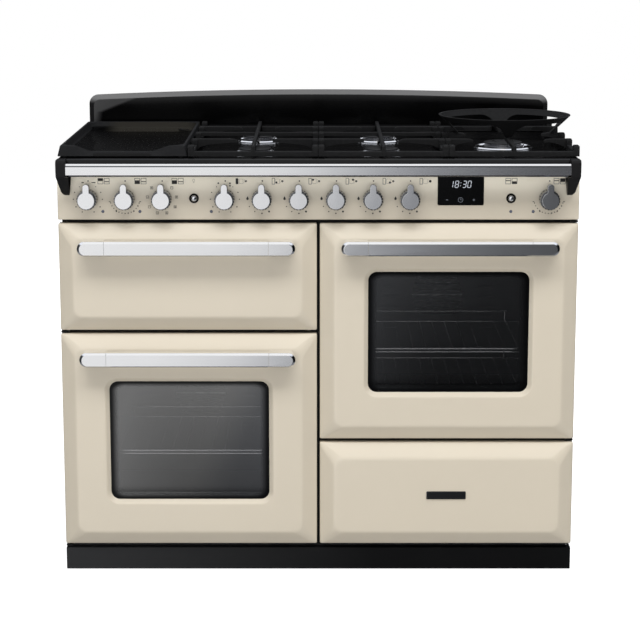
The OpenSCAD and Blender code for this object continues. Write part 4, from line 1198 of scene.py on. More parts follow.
@dataclass
class ClockFace:
    """Black glass clock with slanted seven-segment figures and touch icons."""

    box: Box = (249.3, 346.1, 795.7, 866.7)
    text_z: float = 840.2
    colon_x: float = 297.4
    icon_z: float = 807.3
    figure_w: float = 6.6
    figure_h: float = 13.6
    stroke: float = 1.35
    lean: float = 0.14
    levels: Pair = (-1.62, -1.4)
    segments: dict[str, str] = field(default_factory=lambda: {
        "1": "bc", "8": "abcdefg", "3": "abcdg", "0": "abcdef"})

    def segment(self, name: str) -> np.ndarray:
        """Six-cornered outline of one segment, on a figure centred on its middle.

        It is a bar of the stroke's width whose ends come to a point.

        Args:
            name: a to f clockwise from the top, or g in the middle.

        Returns:
            An array of points (x, z).
        """
        w, h, s = self.figure_w / 2, self.figure_h / 2, self.stroke / 2
        level = {"a": h, "g": 0.0, "d": -h}
        if name in level:
            half, c = w - 0.35, level[name]
            return np.array([[-half, c], [s - half, c - s], [half - s, c - s], [half, c],
                             [half - s, c + s], [s - half, c + s]])
        x = w if name in "bc" else -w
        low = 0.0 if name in "bf" else -h
        a, b = low + 0.35, low + h - 0.35
        return np.array([[x, a], [x + s, a + s], [x + s, b - s], [x, b], [x - s, b - s],
                         [x - s, a + s]])

    def slanted(self, loop: np.ndarray, x: float) -> Shell:
        """A lit shape on the glass, moved sideways by lean times its height.

        Args:
            loop: outline on a figure centred on its middle.
            x: the figure's place.

        Returns:
            The closed shape.
        """
        lean = loop[:, 0] + self.lean * loop[:, 1]
        placed = np.stack([x + lean, self.text_z + loop[:, 1]], axis=1)
        return extrude(placed, *self.levels)

    def stroke_at(self, x: float, *box: float) -> Shell:
        """One straight stroke of an icon at a place across the glass."""
        return extrude(outline(*box, 0.2, 3), *self.levels).moved(x, 0, self.icon_z)

    def build(self) -> None:
        """Make the glass, the figures and the three icons."""
        glass = plate(self.box, [(0, 1), (0, -0.9), (0.15, -1.3), (0.6, -1.5)], 3, 0.5, 8)
        write_piece("clock_glass", glass, CLOCK_GLASS, "cooker", ["clock_display"], crease=30)
        shapes = [self.slanted(self.segment(s), x)
                  for figure, x in zip("1830", (277.9, 289.4, 305.4, 315.6))
                  for s in self.segments[figure]]
        dot = outline(-0.8, 0.8, -0.8, 0.8, 0.75, 4)
        shapes += [self.slanted(dot + [0, z], self.colon_x) for z in (-3.2, 3.2)]
        write_piece("clock_figures", joined(shapes), LIT, "cooker", crease=30)
        front, back = self.levels
        icons = [self.stroke_at(x, -2.4, 2.4, -0.5, 0.5) for x in (269.1, 325.2)]
        icons += [self.stroke_at(325.2, -0.5, 0.5, -2.4, 2.4)]
        icons += [revolve([(4.6, back), (4.6, front), (5.3, front), (5.3, back), (4.6, back)],
                          (self.colon_x, 0, self.icon_z), Along.Y, 32)]
        icons += [self.stroke_at(self.colon_x, -0.35, 0.35, 0, 3.2),
                  self.stroke_at(self.colon_x, 0, 2.4, -0.35, 0.35)]
        write_piece("clock_icons", joined(icons), DIM, "cooker", crease=30)


@dataclass
class PanelPrint:
    """Symbols printed on the control panel."""

    y: float = -0.12
    dial_r: float = 30.0
    line: float = 0.95
    knobs: tuple[float, ...] = (-482, -404.6, -327.2, -195.5, -118.1, -40.7, 36.7, 114.1,
                                191.5, 482)
    bold: list[Shell] = field(default_factory=list)
    fine: list[Shell] = field(default_factory=list)

    def flat(self, loop: np.ndarray, x: float, z: float, faint: bool = False) -> None:
        """Add one filled shape at a place on the panel."""
        ring = stand(loop + [x, z], self.y)
        (self.fine if faint else self.bold).append(Shell(ring, [tuple(range(len(ring)))]))

    def dot(self, x: float, z: float, r: float, faint: bool = False) -> None:
        """Add a round dot; ink spreads to 1.3 times its radius."""
        self.flat(polar(1.3 * r, full_turn(14)), x, z, faint)

    def bar(self, x: float, z: float, w: float, h: float, faint: bool = False) -> None:
        """Add a filled rectangle centred on a place."""
        self.flat(np.array([[-w, -h], [w, -h], [w, h], [-w, h]]) / 2, x, z, faint)

    def box(self, x0: float, x1: float, z0: float, z1: float,
            line: Optional[float] = None) -> None:
        """Add the four thin lines of a rectangle.

        Args:
            x0, x1, z0, z1: its sides.
            line: width of the lines, where it isn't the usual one.
        """
        line = line or self.line
        for z in (z0, z1):
            self.bar((x0 + x1) / 2, z, x1 - x0 + line, line, True)
        for x in (x0, x1):
            self.bar(x, (z0 + z1) / 2, line, z1 - z0 - line, True)

    def around(self, x: float, degrees: Iterable[float], sizes: Sequence[float],
               reach: float = 0.4) -> None:
        """Add dots round a knob, at angles clockwise from the top.

        Args:
            x: the knob's place.
            degrees: the angles.
            sizes: radii of the dots, taken in turn.
            reach: distance outside the dial's radius.
        """
        for k, angle in enumerate(degrees):
            a, r = math.radians(angle), self.dial_r + reach
            self.dot(x + r * math.sin(a), KNOB_Z + r * math.cos(a), sizes[k % len(sizes)])

    def cooker_icon(self, x: float, filled: str) -> None:
        """Add the four-compartment icon with one compartment filled.

        Args:
            x: its left side.
            filled: grill, left, right or drawer.
        """
        base, w, h = 840.8, 10.6, 11.6
        cells = {"left": (0, 0, 1, 0.55), "grill": (0, 0.62, 1, 1),
                 "drawer": (1.25, 0, 2.25, 0.36), "right": (1.25, 0.44, 2.25, 1)}
        for name, (a, b, c, d) in cells.items():
            x0, x1, z0, z1 = x + a * w, x + c * w, base + b * h, base + d * h
            if name == filled:
                self.bar((x0 + x1) / 2, (z0 + z1) / 2, x1 - x0 + 0.5, z1 - z0 + 0.5)
            else:
                self.box(x0, x1, z0, z1)

    def hob_icon(self, x: float, lit: Pair) -> None:
        """Add the hob icon with the place of one zone filled.

        Args:
            x: its left side.
            lit: the place of the zone from 0 to 1 across and up; below 0 is the griddle.
        """
        z0, h = 840.2, 12.4
        wok = lit[0] >= 0.85
        if lit[0] < 0:
            self.flat(outline(0, 5.6, 0, h, 1.2, 4), x, z0)
        else:
            self.box(x, x + 5.2, z0, z0 + h)
        self.box(x + 7.4, x + 15.4, z0 + 1.5, z0 + h - 1.5, 0.4)
        t = np.linspace(-1.1, 1.1, 9)
        arc = np.stack([15 + 4.2 * np.cos(t), h / 2 + 4.6 * np.sin(t)], axis=1)
        self.flat(np.concatenate([arc, (arc - [0.45, 0])[::-1]]), x, z0, True)
        self.dot(x + 21.5, z0 + h / 2, 1.7, not wok)
        if wok:
            self.dot(x + 21.5, z0 + h / 2, 2.1)
        elif lit[0] >= 0:
            self.dot(x + 22 * lit[0], z0 + h * lit[1], 1.75)

    def flame(self, x: float) -> None:
        """Add the drop-shaped flame: half width 3.3 sin(t) (1/2 - 1/2 cos t)^0.55.

        Args:
            x: the knob's place.
        """
        t = full_turn(20)
        w = 3.3 * np.sin(t) * np.clip(0.5 - 0.5 * np.cos(t), 0, 1) ** 0.55
        self.flat(np.stack([w, 3.9 * np.cos(t)], axis=1)[::-1], x - self.dial_r,
                  KNOB_Z + 1.2)

    def function_squares(self, x: float) -> None:
        """Add the eight mode symbols: small frames with a different filling in each.

        Args:
            x: the knob's place.
        """
        places = [(-21, 23), (21, 23), (-30, 3.7), (30.6, 3.7), (-26.2, -17), (27.6, -17),
                  (-9.8, -29.8), (9.8, -29.8)]
        for k, (dx, dz) in enumerate(places):
            cx, cz = x + dx, KNOB_Z + dz
            self.box(cx - 2.5, cx + 2.5, cz - 2.5, cz + 2.5)
            if k in (0, 3, 5, 7):
                self.dot(cx, cz, 0.95)
            for dz, squares in ((1.1, (1, 3, 4, 6)), (-1.2, (2, 5, 6, 7))):
                if k in squares:
                    self.bar(cx, cz + dz, 2.8, 0.55)

    def thermostat(self, x: float) -> None:
        """Add the temperature scale below a knob.

        Args:
            x: the knob's place.
        """
        self.around(x, np.arange(107, 260, 12.2), (0.9, 1.1, 0.9, 0.9), 1.0)
        r = self.dial_r + 2.5
        for side in (-1, 1):
            for angle, w in ((101, 2.6), (146, 2.2)):
                a = math.radians(angle)
                self.bar(x + side * r * math.sin(a), KNOB_Z + r * math.cos(a), 1.4 * w,
                         1.6)

    def build(self) -> None:
        """Print every symbol."""
        for x in self.knobs:
            self.dot(x + 1.2, 846.9, 1.15)
        grill, left_heat, left_mode, griddle, *burners, right_heat = self.knobs
        scale = ((-156, -124, -92, -64, -34, 34, 64, 92, 124, 156),
                 (0.95, 1.05, 0.95, 0.95, 0.7, 0.7, 0.95, 0.95, 1.05, 0.95))
        self.around(grill, *scale)
        for dx, w in ((-10.0, 5.0), (12.4, 8.4)):
            self.bar(grill + dx, 843.6, w, 1.9)
        self.around(griddle, *scale)
        for dx, dz in ((-13.4, 32.6), (11.0, 32.6), (11.0, 27.6)):
            self.dot(griddle + dx, KNOB_Z + dz, 1.35)
        for x in (left_heat, right_heat):
            self.thermostat(x)
        self.function_squares(left_mode)
        for x in burners:
            self.flame(x)
            self.around(x, (-122, -151, -180, -209), (0.95, 1.0, 1.15, 1.6), 0.8)
        for x, filled in ((-460.4, "grill"), (-383.4, "left"), (-305.8, "left"),
                          (391.2, "drawer"), (492.0, "right")):
            self.cooker_icon(x, filled)
        zones = ((-1, 0), (0.4, 0.28), (0.39, 0.75), (0.66, 0.75), (0.66, 0.28), (0.9, 0.5))
        for x, lit in zip((-172.6, -96.5, -19.8, 57.8, 135.0, 212.2), zones):
            self.hob_icon(x, lit)
        ring = polar(1.0, np.linspace(0, TURN, 17))[:, ::-1]
        self.flat(np.concatenate([ring * 2.7, ring[::-1] * 2.2]), -260.4, 848.2, True)
        for z in (844.4, 843.2):
            self.bar(-260.4, z, 2.2, 0.5, True)
        write_piece("panel_print", joined(self.bold), INK, "cooker", turn=False)
        write_piece("panel_outlines", joined(self.fine), FAINT, "cooker", turn=False)


@dataclass
class ControlPanel:
    """Enamelled panel with its lamps, buttons, clock and knobs."""

    box: Box = (-546.0, 546.0, 765.0, 880.0)
    depth: float = 24.0
    lamp_xs: tuple[float, ...] = (-451, -373.5, -224, 403, 450)
    lamp_z: float = 782.7

    def build(self) -> None:
        """Make the shell and everything that sits on it."""
        steps = [(0, self.depth), (0, 3.2), (0.25, 1.6), (0.9, 0.6), (1.9, 0.12), (3.2, 0)]
        write_piece("panel_shell", plate(self.box, steps, 2.5, 0.3, 6, start=False), PANEL,
                    "cooker", ["control_panel"], crease=60, wall=1.6, turn=False)
        symbols = PanelPrint()
        symbols.build()
        ClockFace().build()
        lens = [(3.25, 1.0), (3.25, -0.4), (2.9, -1.0), (1.9, -1.5), (0.8, -1.75), (0, -1.8)]
        lamps = joined(revolve(lens, (x, 0, self.lamp_z), Along.Y, 28) for x in self.lamp_xs)
        write_piece("neon_lamps", lamps, NEON, "cooker", ["lamps_and_collars"], crease=40)
        PushButton("button_oven_light", -260).build()
        PushButton("button_drawer", 403).build()
        names = ["grill", "left_oven_heat", "left_oven_mode", "griddle"]
        names += [f"burner_{i}" for i in range(1, 6)] + ["right_oven_heat"]
        for name, x in zip(names, symbols.knobs):
            Knob(f"knob_{name}", x).build()


@dataclass
class FrontRail:
    """Rail across the front with a casting at each end."""

    half: float = 522.0
    z0: float = 860.9
    z1: float = 887.7
    front: float = -48.0
    back: float = -26.0
    chamfer: float = 3.5
    outer: float = 542.5

    def build(self) -> None:
        """Make the rail as one carried section, and the two castings."""
        f, b, lo, hi = self.front, self.back, self.z0, self.z1
        in_y, in_z = f + self.chamfer, hi - self.chamfer
        corners = np.array([[f, lo + 3.6], [in_y, lo], [b - 1, lo], [b, lo + 1], [b, hi - 1],
                            [b - 1, hi], [in_y, hi], [f + 0.3, in_z - 0.1],
                            [f + 1.1, in_z - 0.4], [f + 1.1, in_z - 1.0], [f, in_z - 1.3]])
        bar = extrude(corners, -self.half, self.half, Along.X)
        write_piece("rail_bar", bar, SATIN, "cooker", ["front_rail"], crease=25, bevel=0.2)
        cap = self.casting()
        write_piece("rail_casting_right", cap, CASTING, "cooker", ["rail_end_caps"], crease=35)
        write_piece("rail_casting_left", cap.mirrored(), CASTING, "cooker", crease=35)

    def casting(self) -> Shell:
        """End casting: rings of its side profile, wide at the rail and narrow at the ear.

        Each ring is the profile at one X. Below the rail it steps in, and at the outer face
        it shrinks towards the middle to round the edge.

        Returns:
            The closed casting of the right end.
        """
        nose = polar(8, np.linspace(0, TURN / 4, 7))[:, ::-1] * [-1, 1] + [-42, 888.5]
        profile = np.concatenate([
            [[-20.4, 896.5]], nose,
            [[-50, 866], [-49.3, 860.2], [-49.1, 859.4], [-17, 824.5], [-14, 820],
             [-11, 818.5], [-1, 818.5], [0, 819.6], [0, 859.4], [0, 860.2], [0, 879.6],
             [-20.4, 879.6]]])
        level = profile[:, 1]
        away = profile - [-24.0, 866.0]
        away /= np.linalg.norm(away, axis=1)[:, None]
        inner = np.interp(level, [818.5, 859.4, 860.2], [519.4, 515.6, 522.0])
        tuck = np.interp(level, [818.5, 826.0, 859.4, 860.2], [11.5, 5.6, 4.2, 0.0])
        rings = [np.column_stack([inner, profile])]
        for depth, shrink in ((3.2, 0.0), (1.4, 0.35), (0.4, 1.3), (0.0, 2.8)):
            rings.append(np.column_stack([self.outer - depth - tuck, profile - away * shrink]))
        return loft(rings)


# Hob


@dataclass
class Splashback:
    """Glossy upstand at the back with a sloping border and an arched top."""

    half: float = 541.0
    top: float = 991.0
    foot: float = 880.0
    arch: float = 12.0
    r: float = 22.0
    front_y: float = SPLASH_Y
    back_y: float = 586.0
    border: float = 12.0

    def loop(self, inset: float) -> np.ndarray:
        """Outline drawn in by an inset: round top corners joined by a shallow parabola.

        Args:
            inset: millimetres by which it is drawn in.

        Returns:
            An array of points (x, z).
        """
        half, top, r = self.half - inset, self.top - inset, self.r - inset * 0.6
        right = polar(r, np.linspace(0, TURN / 4, 12)) + [half - r, top - self.arch - r]
        x = np.linspace(half - r, r - half, 40)[1:-1]
        crown = np.stack([x, top - self.arch * (x / (half - r)) ** 2], axis=1)
        return np.concatenate([[[half, self.foot]], right, crown, right[::-1] * [-1, 1],
                               [[-half, self.foot]]])

    def build(self) -> None:
        """Make the pressing from rings that step from its back to its face."""
        f, b, w = self.front_y, self.back_y, self.border
        steps = [(0, b), (0, b - 1.6), (0.35, b - 2.4), (1.1, b - 3.0), (w - 1.2, f + 1.0),
                 (w - 0.4, f + 0.35), (w + 0.6, f + 0.05), (w + 2, f)]
        write_piece("splash_pressing", loft(stand(self.loop(i), y) for i, y in steps), SPLASH,
                    "cooker", ["splashback"], crease=30)


@dataclass
class GriddlePlate:
    """Cast griddle tray: its front wall dips between two soft shoulders."""

    x0: float = -SIDE_X
    x1: float = -273.5
    y0: float = HOB_FRONT
    y1: float = HOB_BACK
    foot: float = HOB_FOOT
    top: float = 919.0
    floor: float = 900.0
    draft: float = 4.6
    wall: float = 10.5
    inner_r: float = 40.0
    dip: float = 12.0
    dip_half: float = 95.0

    def rim(self, loop: np.ndarray) -> np.ndarray:
        """Height of the rim over each point: lower in the middle of the front wall.

        It falls by dip times a smooth step of the distance from the middle of the front.

        Args:
            loop: points (x, y).

        Returns:
            One height for each point.
        """
        centre = (self.x0 + self.x1) / 2
        s = np.clip((self.dip_half - np.abs(loop[:, 0] - centre)) / 13, 0, 1)
        near = np.clip((self.y0 + 60 - loop[:, 1]) / 40, 0, 1)
        return self.top - self.dip * s * s * (3 - 2 * s) * near

    def loop(self, inset: float, r: float) -> np.ndarray:
        """Outline of the tray drawn in by an inset, with many points on its sides."""
        return drawn_in((self.x0, self.x1, self.y0, self.y1), inset, r, 10, 36)

    def build(self) -> None:
        """Make the tray, the sunk mark on its front, its feet and the drain."""
        d, w, r = self.draft, self.wall, self.inner_r
        rings = [stand(self.loop(inset, corner), self.foot + 1 - inset, Along.Z)
                 for inset, corner in ((1.0, 4.5), (0.2, 5))]
        for inset, corner, sink in ((d, 6, 2.0), (d + 0.4, 6, 0.7), (d + 1.3, 6, 0.0),
                                    (w - 1.2, r + 2, 0.0), (w, r + 1, 0.9)):
            loop = self.loop(inset, corner)
            rings.append(stand(loop, self.rim(loop) - sink, Along.Z))
        rings += [stand(self.loop(w + inset, r - less), self.floor + up, Along.Z)
                  for inset, less, up in ((2.6, 0, 7.2), (5.5, 1, 5.0), (12, 3, 2.9),
                                          (22, 6, 1.3), (38, 12, 0.0))]
        centre = (self.x0 + self.x1) / 2
        mark = extrude(outline(centre - 60, centre + 60, 897.6, 903.6, 1.5, 5), 9.9, 10.4)
        pads = joined(
            revolve([(4.4, 895.0), (5, 895.6), (5, 898.5)], (x, y, 0), Along.Z, 20)
            for x in (self.x0 + 14, self.x1 - 14) for y in (self.y0 + 7, self.y1 - 7))
        cup = revolve([(11, 898), (12.6, 903.1), (12.6, 903.9), (11.6, 904.2), (10.6, 903.6),
                       (9.4, 898.2), (0, 898.2)], (self.x1 - 40, self.y1 - 34, 0), Along.Z, 36)
        body = "griddle_plate"
        write_piece("griddle_tray", loft(rings), GRIDDLE, body, [body], crease=45)
        write_piece("griddle_front_mark", mark, CAP, body, crease=30)
        write_piece("griddle_pads", pads, IRON, body, crease=40)
        write_piece("griddle_drain", cup, CAP, body, crease=40)


@dataclass
class PanSupport:
    """Cast pan support of one hob bay."""

    name: str
    x: float
    wok: bool = False
    w: float = 272.0
    y0: float = HOB_FRONT
    y1: float = HOB_BACK
    foot: float = HOB_FOOT
    top: float = GRATE_TOP
    pads: float = 895.0
    bar_w: float = 12.0
    bar_h: float = 10.5
    rib: float = 8.5
    lug_l: float = 24.0
    middle: float = 291.0
    wok_hole: float = 84.0

    def bar(self, w: float, h: float, centre: float, base: float) -> np.ndarray:
        """Section of a cast bar with its two top edges cut off.

        Args:
            w: its width.
            h: its height.
            centre: place of its middle.
            base: height of its underside.

        Returns:
            An array of six points.
        """
        c = 1.5
        return np.array([[-w / 2, 0], [w / 2, 0], [w / 2, h - c], [w / 2 - c, h],
                         [c - w / 2, h], [-w / 2, h - c]]) + [centre, base]

    def lofted(self, levels: Iterable[float], loops: Iterable[np.ndarray],
               along: Along) -> Shell:
        """Bar whose section changes along its way."""
        return loft(stand(loop, level, along) for loop, level in zip(loops, levels))

    def rim_bars(self) -> list[Shell]:
        """The four low bars of the frame.

        Returns:
            The four bars.
        """
        edge, inset, half = (self.w - self.bar_w) / 2, self.bar_w / 2 + 0.2, self.w / 2 - 0.4

        def low(centre: float) -> np.ndarray:
            """Section of a bar over a centre line."""
            return self.bar(self.bar_w, self.bar_h, centre, self.foot)

        return [extrude(low(x), self.y0, self.y1) for x in (-edge, edge)] + [
            extrude(low(y), -half, half, Along.X) for y in (self.y0 + inset, self.y1 - inset)]

    def lugs(self) -> list[Shell]:
        """Raised lugs on the side bars and the pads below the frame.

        Returns:
            The lugs and pads.
        """
        edge, half = (self.w - self.bar_w) / 2, self.lug_l / 2
        middle = WOK_Y if self.wok else self.middle
        near, far = BURNER_YS
        ys = (self.y0 + 12.3, near, middle, far, self.y1 - 12.3)
        rise = self.top - self.foot - 0.3
        out = []
        for side in (-1, 1):
            loops = [self.bar(self.bar_w + 0.3, rise - sink, side * edge, self.foot)
                     for sink in (3.0, 0.0, 0.0, 3.0)]
            out += [self.lofted((y - half, y - half + 2.2, y + half - 2.2, y + half), loops,
                                Along.Y) for y in ys]
            out += [revolve([(4.4, self.pads), (5, self.pads + 0.6), (5, self.foot + 2)],
                            (side * (self.w / 2 - 14), y, 0), Along.Z, 18)
                    for y in (self.y0 + 7, self.y1 - 7)]
        return out

    def spine(self, y_start: float, y_end: float) -> Shell:
        """Thin rib from an end bar towards the middle; its lower edge sweeps up in an arc.

        The edge rises with sin(s pi/2), where s goes from 0 to 1 between 12 and 42 mm.

        Args:
            y_start: place where it leaves the end bar.
            y_end: place of its tip.

        Returns:
            The closed rib.
        """
        last = abs(y_end - y_start)
        u = np.array([0.3, 3.5, 8, 12, 17, 23, 30, 38, 46, last - 6, last - 1.5, last])
        rise = np.clip((u - 12) / 30, 0, 1)
        low = self.foot + (self.top - self.foot - self.rib) * np.sin(rise * TURN / 4)
        high = self.top - np.array([2.6, 0.4] + [0.0] * (len(u) - 2))
        loops = (self.bar(self.rib, h - b, 0, b) for h, b in zip(high, low))
        return self.lofted(y_start + np.sign(y_end - y_start) * u, loops, Along.Y)

    def finger(self, side: float, y: float, reach: float) -> Shell:
        """Finger from a side bar towards the burner, tapering in height and width.

        With s from 0 to 1 on its way, its lower edge rises with the root of 1.6 s and its
        width shrinks with s squared.

        Args:
            side: -1 for the left side bar, 1 for the right.
            y: its place.
            reach: its length.

        Returns:
            The closed finger.
        """
        u = np.array([0.5, 6, 12, 18, 26, 40, reach - 14, reach - 7, reach - 2.5, reach])
        share = np.clip((u - 12) / (reach - 12), 0, 1)
        sweep = np.sqrt(np.clip(share * 1.6, 0, 1))
        high = self.top - np.array([0] * (len(u) - 3) + [0.6, 2.0, 4.0])
        low = np.minimum(self.foot + (self.top - self.foot - self.rib) * sweep, high - 3.4)
        loops = (self.bar(w, h - b, y, b)
                 for w, h, b in zip(10.5 - 4.0 * share ** 2, high, low))
        return self.lofted(side * (u - self.w / 2), loops, Along.X)

    def build(self) -> None:
        """Make the frame, its ribs and fingers in one casting."""
        parts = self.rim_bars() + self.lugs()
        gap, middle = (self.wok_hole, WOK_Y) if self.wok else (-0.4, self.middle)
        parts += [self.spine(self.y0, middle - gap), self.spine(self.y1, middle + gap)]
        if self.wok:
            parts += [self.finger(side, WOK_Y, self.w / 2 - gap) for side in (-1, 1)]
        parts += [self.finger(side, y, 60 if self.wok else self.w / 2 - 38)
                  for side in (-1, 1) for y in BURNER_YS]
        if not self.wok:
            cross = self.bar(10, self.rib, self.middle, self.top - self.rib)
            parts.append(extrude(cross, 1 - self.w / 2, self.w / 2 - 1, Along.X))
        write_piece(f"grate_{self.name}", joined(parts).moved(self.x), IRON, self.name,
                    [self.name], crease=30, bevel=0.7)


@dataclass
class WokRing:
    """Conical ring on four legs that holds a wok."""

    x: float = 411.5
    y: float = WOK_Y
    foot: float = GRATE_TOP
    top: float = 960.5
    r: float = 146.5
    slope: float = 1.02
    wall: float = 5.0
    band: float = 12.5
    leg: float = 11.0

    def low_edge(self, t: np.ndarray) -> np.ndarray:
        """Height of the lower edge round the ring: the band, with a leg every quarter turn.

        A leg is narrow at its foot and flares into the band along a quarter ellipse.

        Args:
            t: angles round the ring.

        Returns:
            One height for each angle.
        """
        quarter = np.abs((t + TURN / 8) % (TURN / 4) - TURN / 8)
        s = np.clip((quarter * (self.r - 28) - self.leg) / 30.0, 0, 1)
        rise = (self.top - self.band - self.foot) * (1 - (1 - s) ** 2) ** 0.5
        return self.foot + rise

    def build(self) -> None:
        """Make the ring as a grid round the cone, closed over its two edges."""
        t = full_turn(240)
        low, w = self.low_edge(t), self.wall

        def ring(share: float, out: float, up: float = 0.0) -> np.ndarray:
            """Ring at a share of the way down the cone, at a distance from its outside.

            Args:
                share: part of the way from the top to the lower edge.
                out: distance inwards from the outside.
                up: millimetres by which it is raised.

            Returns:
                An array of points (x, y, z).
            """
            z = self.top - (self.top - low) * share + up
            loop = polar(self.r - (self.top - z) * self.slope - out, t)
            return np.column_stack([loop + [self.x, self.y], z])

        steps = [(0, 1.6), (0, 0.5, -0.6), (0.06, 0.0), (0.3, 0.2), (0.7, 0.3), (0.95, 0.5),
                 (1, 1.4), (1, w - 1.4), (0.95, w - 0.4), (0.7, w), (0.3, w), (0.1, w + 0.4),
                 (0.03, w + 0.9), (0, w + 0.3)]
        write_piece("wok_ring_casting", loft((ring(*s) for s in steps), wrap=True), IRON,
                    "wok_ring", ["wok_ring"], crease=45)


@dataclass
class Burner:
    """Gas burner: bright spill ring, head with ports, cap, spark pin and flame sensor."""

    name: str
    x: float
    y: float
    ring_r: float = 52.0
    head_r: float = 34.0
    cap_r: float = 36.0
    ports: int = 32
    wok: bool = False
    well: float = 887.0
    base_for: Sequence[str] = ()
    cap_for: Sequence[str] = ()

    def head(self) -> Shell:
        """Head whose wall is notched by ports: radius r - 2.2 where cos(nt) is high.

        Returns:
            The closed head.
        """
        t = full_turn(self.ports * 6)
        notch = 2.2 * (np.cos(self.ports * t) > 0.4)
        steps = [(0.0, 3.5, 0), (0.0, 6.2, 0), (1.2, 6.8, 0), (1.2, 7.0, 1), (0.9, 9.8, 1)]
        return loft(stand(polar(self.head_r - inset - notch * cut, t), h, Along.Z)
                    for inset, h, cut in steps)

    def build(self) -> None:
        """Make the spill ring, head, cap and the two pins."""
        r, h, c = self.ring_r, self.head_r, self.cap_r
        dish = [(h - 4, 0.2), (r - 0.6, 0.2), (r, 0.9), (r - 2.5, 3.4), (r - 4.2, 3.4),
                (r - 5.6, 2.2), (h + 7, 2.6), (h + 3, 4.2), (h - 1, 4.6), (h - 4, 4.6),
                (h - 4, 0.2)]
        cap = [(c - 2, 10.0), (c - 0.5, 10.2), (c, 11.0), (c - 0.3, 12.1), (c - 1.4, 13.0),
               (c - 4, 13.8)]
        if self.wok:
            cap += [(c * 0.62, 14.6), (c * 0.58, 14.2), (c * 0.56, 12.6), (c * 0.46, 12.6),
                    (c * 0.44, 14.4), (c * 0.41, 15.0)]
        cap += [(c * 0.35, 15.3), (0, 15.6)]
        spark = [(1.8, 2), (1.8, 8.0), (1.2, 8.3), (0.9, 11.6), (0.4, 12.0), (0, 12.0)]
        sensor = [(1.4, 2), (1.4, 9.2), (0.9, 10.6), (0, 11.0)]
        out = h + 5
        pins = (revolve(spark, (0, out, 0), Along.Z, 14)
                + revolve(sensor, (out * 0.94, -out * 0.34, 0), Along.Z, 14))
        centre = (0, 0, 0)
        parts = [("spill_ring", revolve(dish, centre, Along.Z, 72), CHROME,
                  self.base_for, 30),
                 ("head", self.head(), HEAD, (), 35),
                 ("cap", revolve(cap, centre, Along.Z, 64), CAP,
                  self.cap_for, 35),
                 ("pins", pins, WIRE, (), 40)]
        for part, shell, finish, nodes, crease in parts:
            write_piece(f"{self.name}_{part}", shell.moved(self.x, self.y, self.well), finish,
                        "cooker", nodes, crease=crease)


# Frame nodes that keep their own shape


@dataclass
class FrameDresser:
    """Gives the frame's own nodes their finishes."""

    # The right window's glass is a copy with a weaker mirror coat and a deeper foot shade: painted
    # shade.
    windows: dict[str, WindowGlass] = field(default_factory=lambda: {
        "left_door_glass": WindowGlass("left_window_glass", "door_glass", LEFT_WINDOW),
        "right_door_glass": WindowGlass("right_window_glass", "door_glass", RIGHT_WINDOW,
                                        0.8, 0.68)})
    groups: tuple[tuple[Finish, str], ...] = (
        (SIDE, "side_panels front_frame"),
        (PLINTH, "plinth"),
        (ZINC, "base_frame back_panel"),
        (OVEN, "grill_cavity left_oven_cavity right_oven_cavity grill_door_liner "
               "left_door_liner right_door_liner drawer_box grill_pan"),
        (SEAL, "door_seals"),
        (STEEL, "levelling_feet drawer_runners left_fan_blade right_fan_blade"),
        (CASTING, "hinge_brackets"),
        (WIRE, "shelf_racks left_shelf right_upper_shelf right_lower_shelf"),
        (ELEMENT, "heating_elements"),
        (BLACK, "hob_tray"),
        (CREAM, "control_panel grill_door left_door right_door drawer_front"),
        (BRASS, "taps_and_switches"),
    )

    def build(self) -> None:
        """Assign a material to every node of the frame; IRON where no group names it."""
        finishes = {name: finish for finish, names in self.groups for name in names.split()}
        finishes |= self.windows
        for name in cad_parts:
            thing = bpy.data.objects.get(name)
            if thing is None or thing.type != "MESH":
                continue
            finish = finishes.get(name, IRON)
            thing.data.materials.clear()
            thing.data.materials.append(finish.material())
            LOG.info("dressed %s with %s", name, finish.label)


# Studio


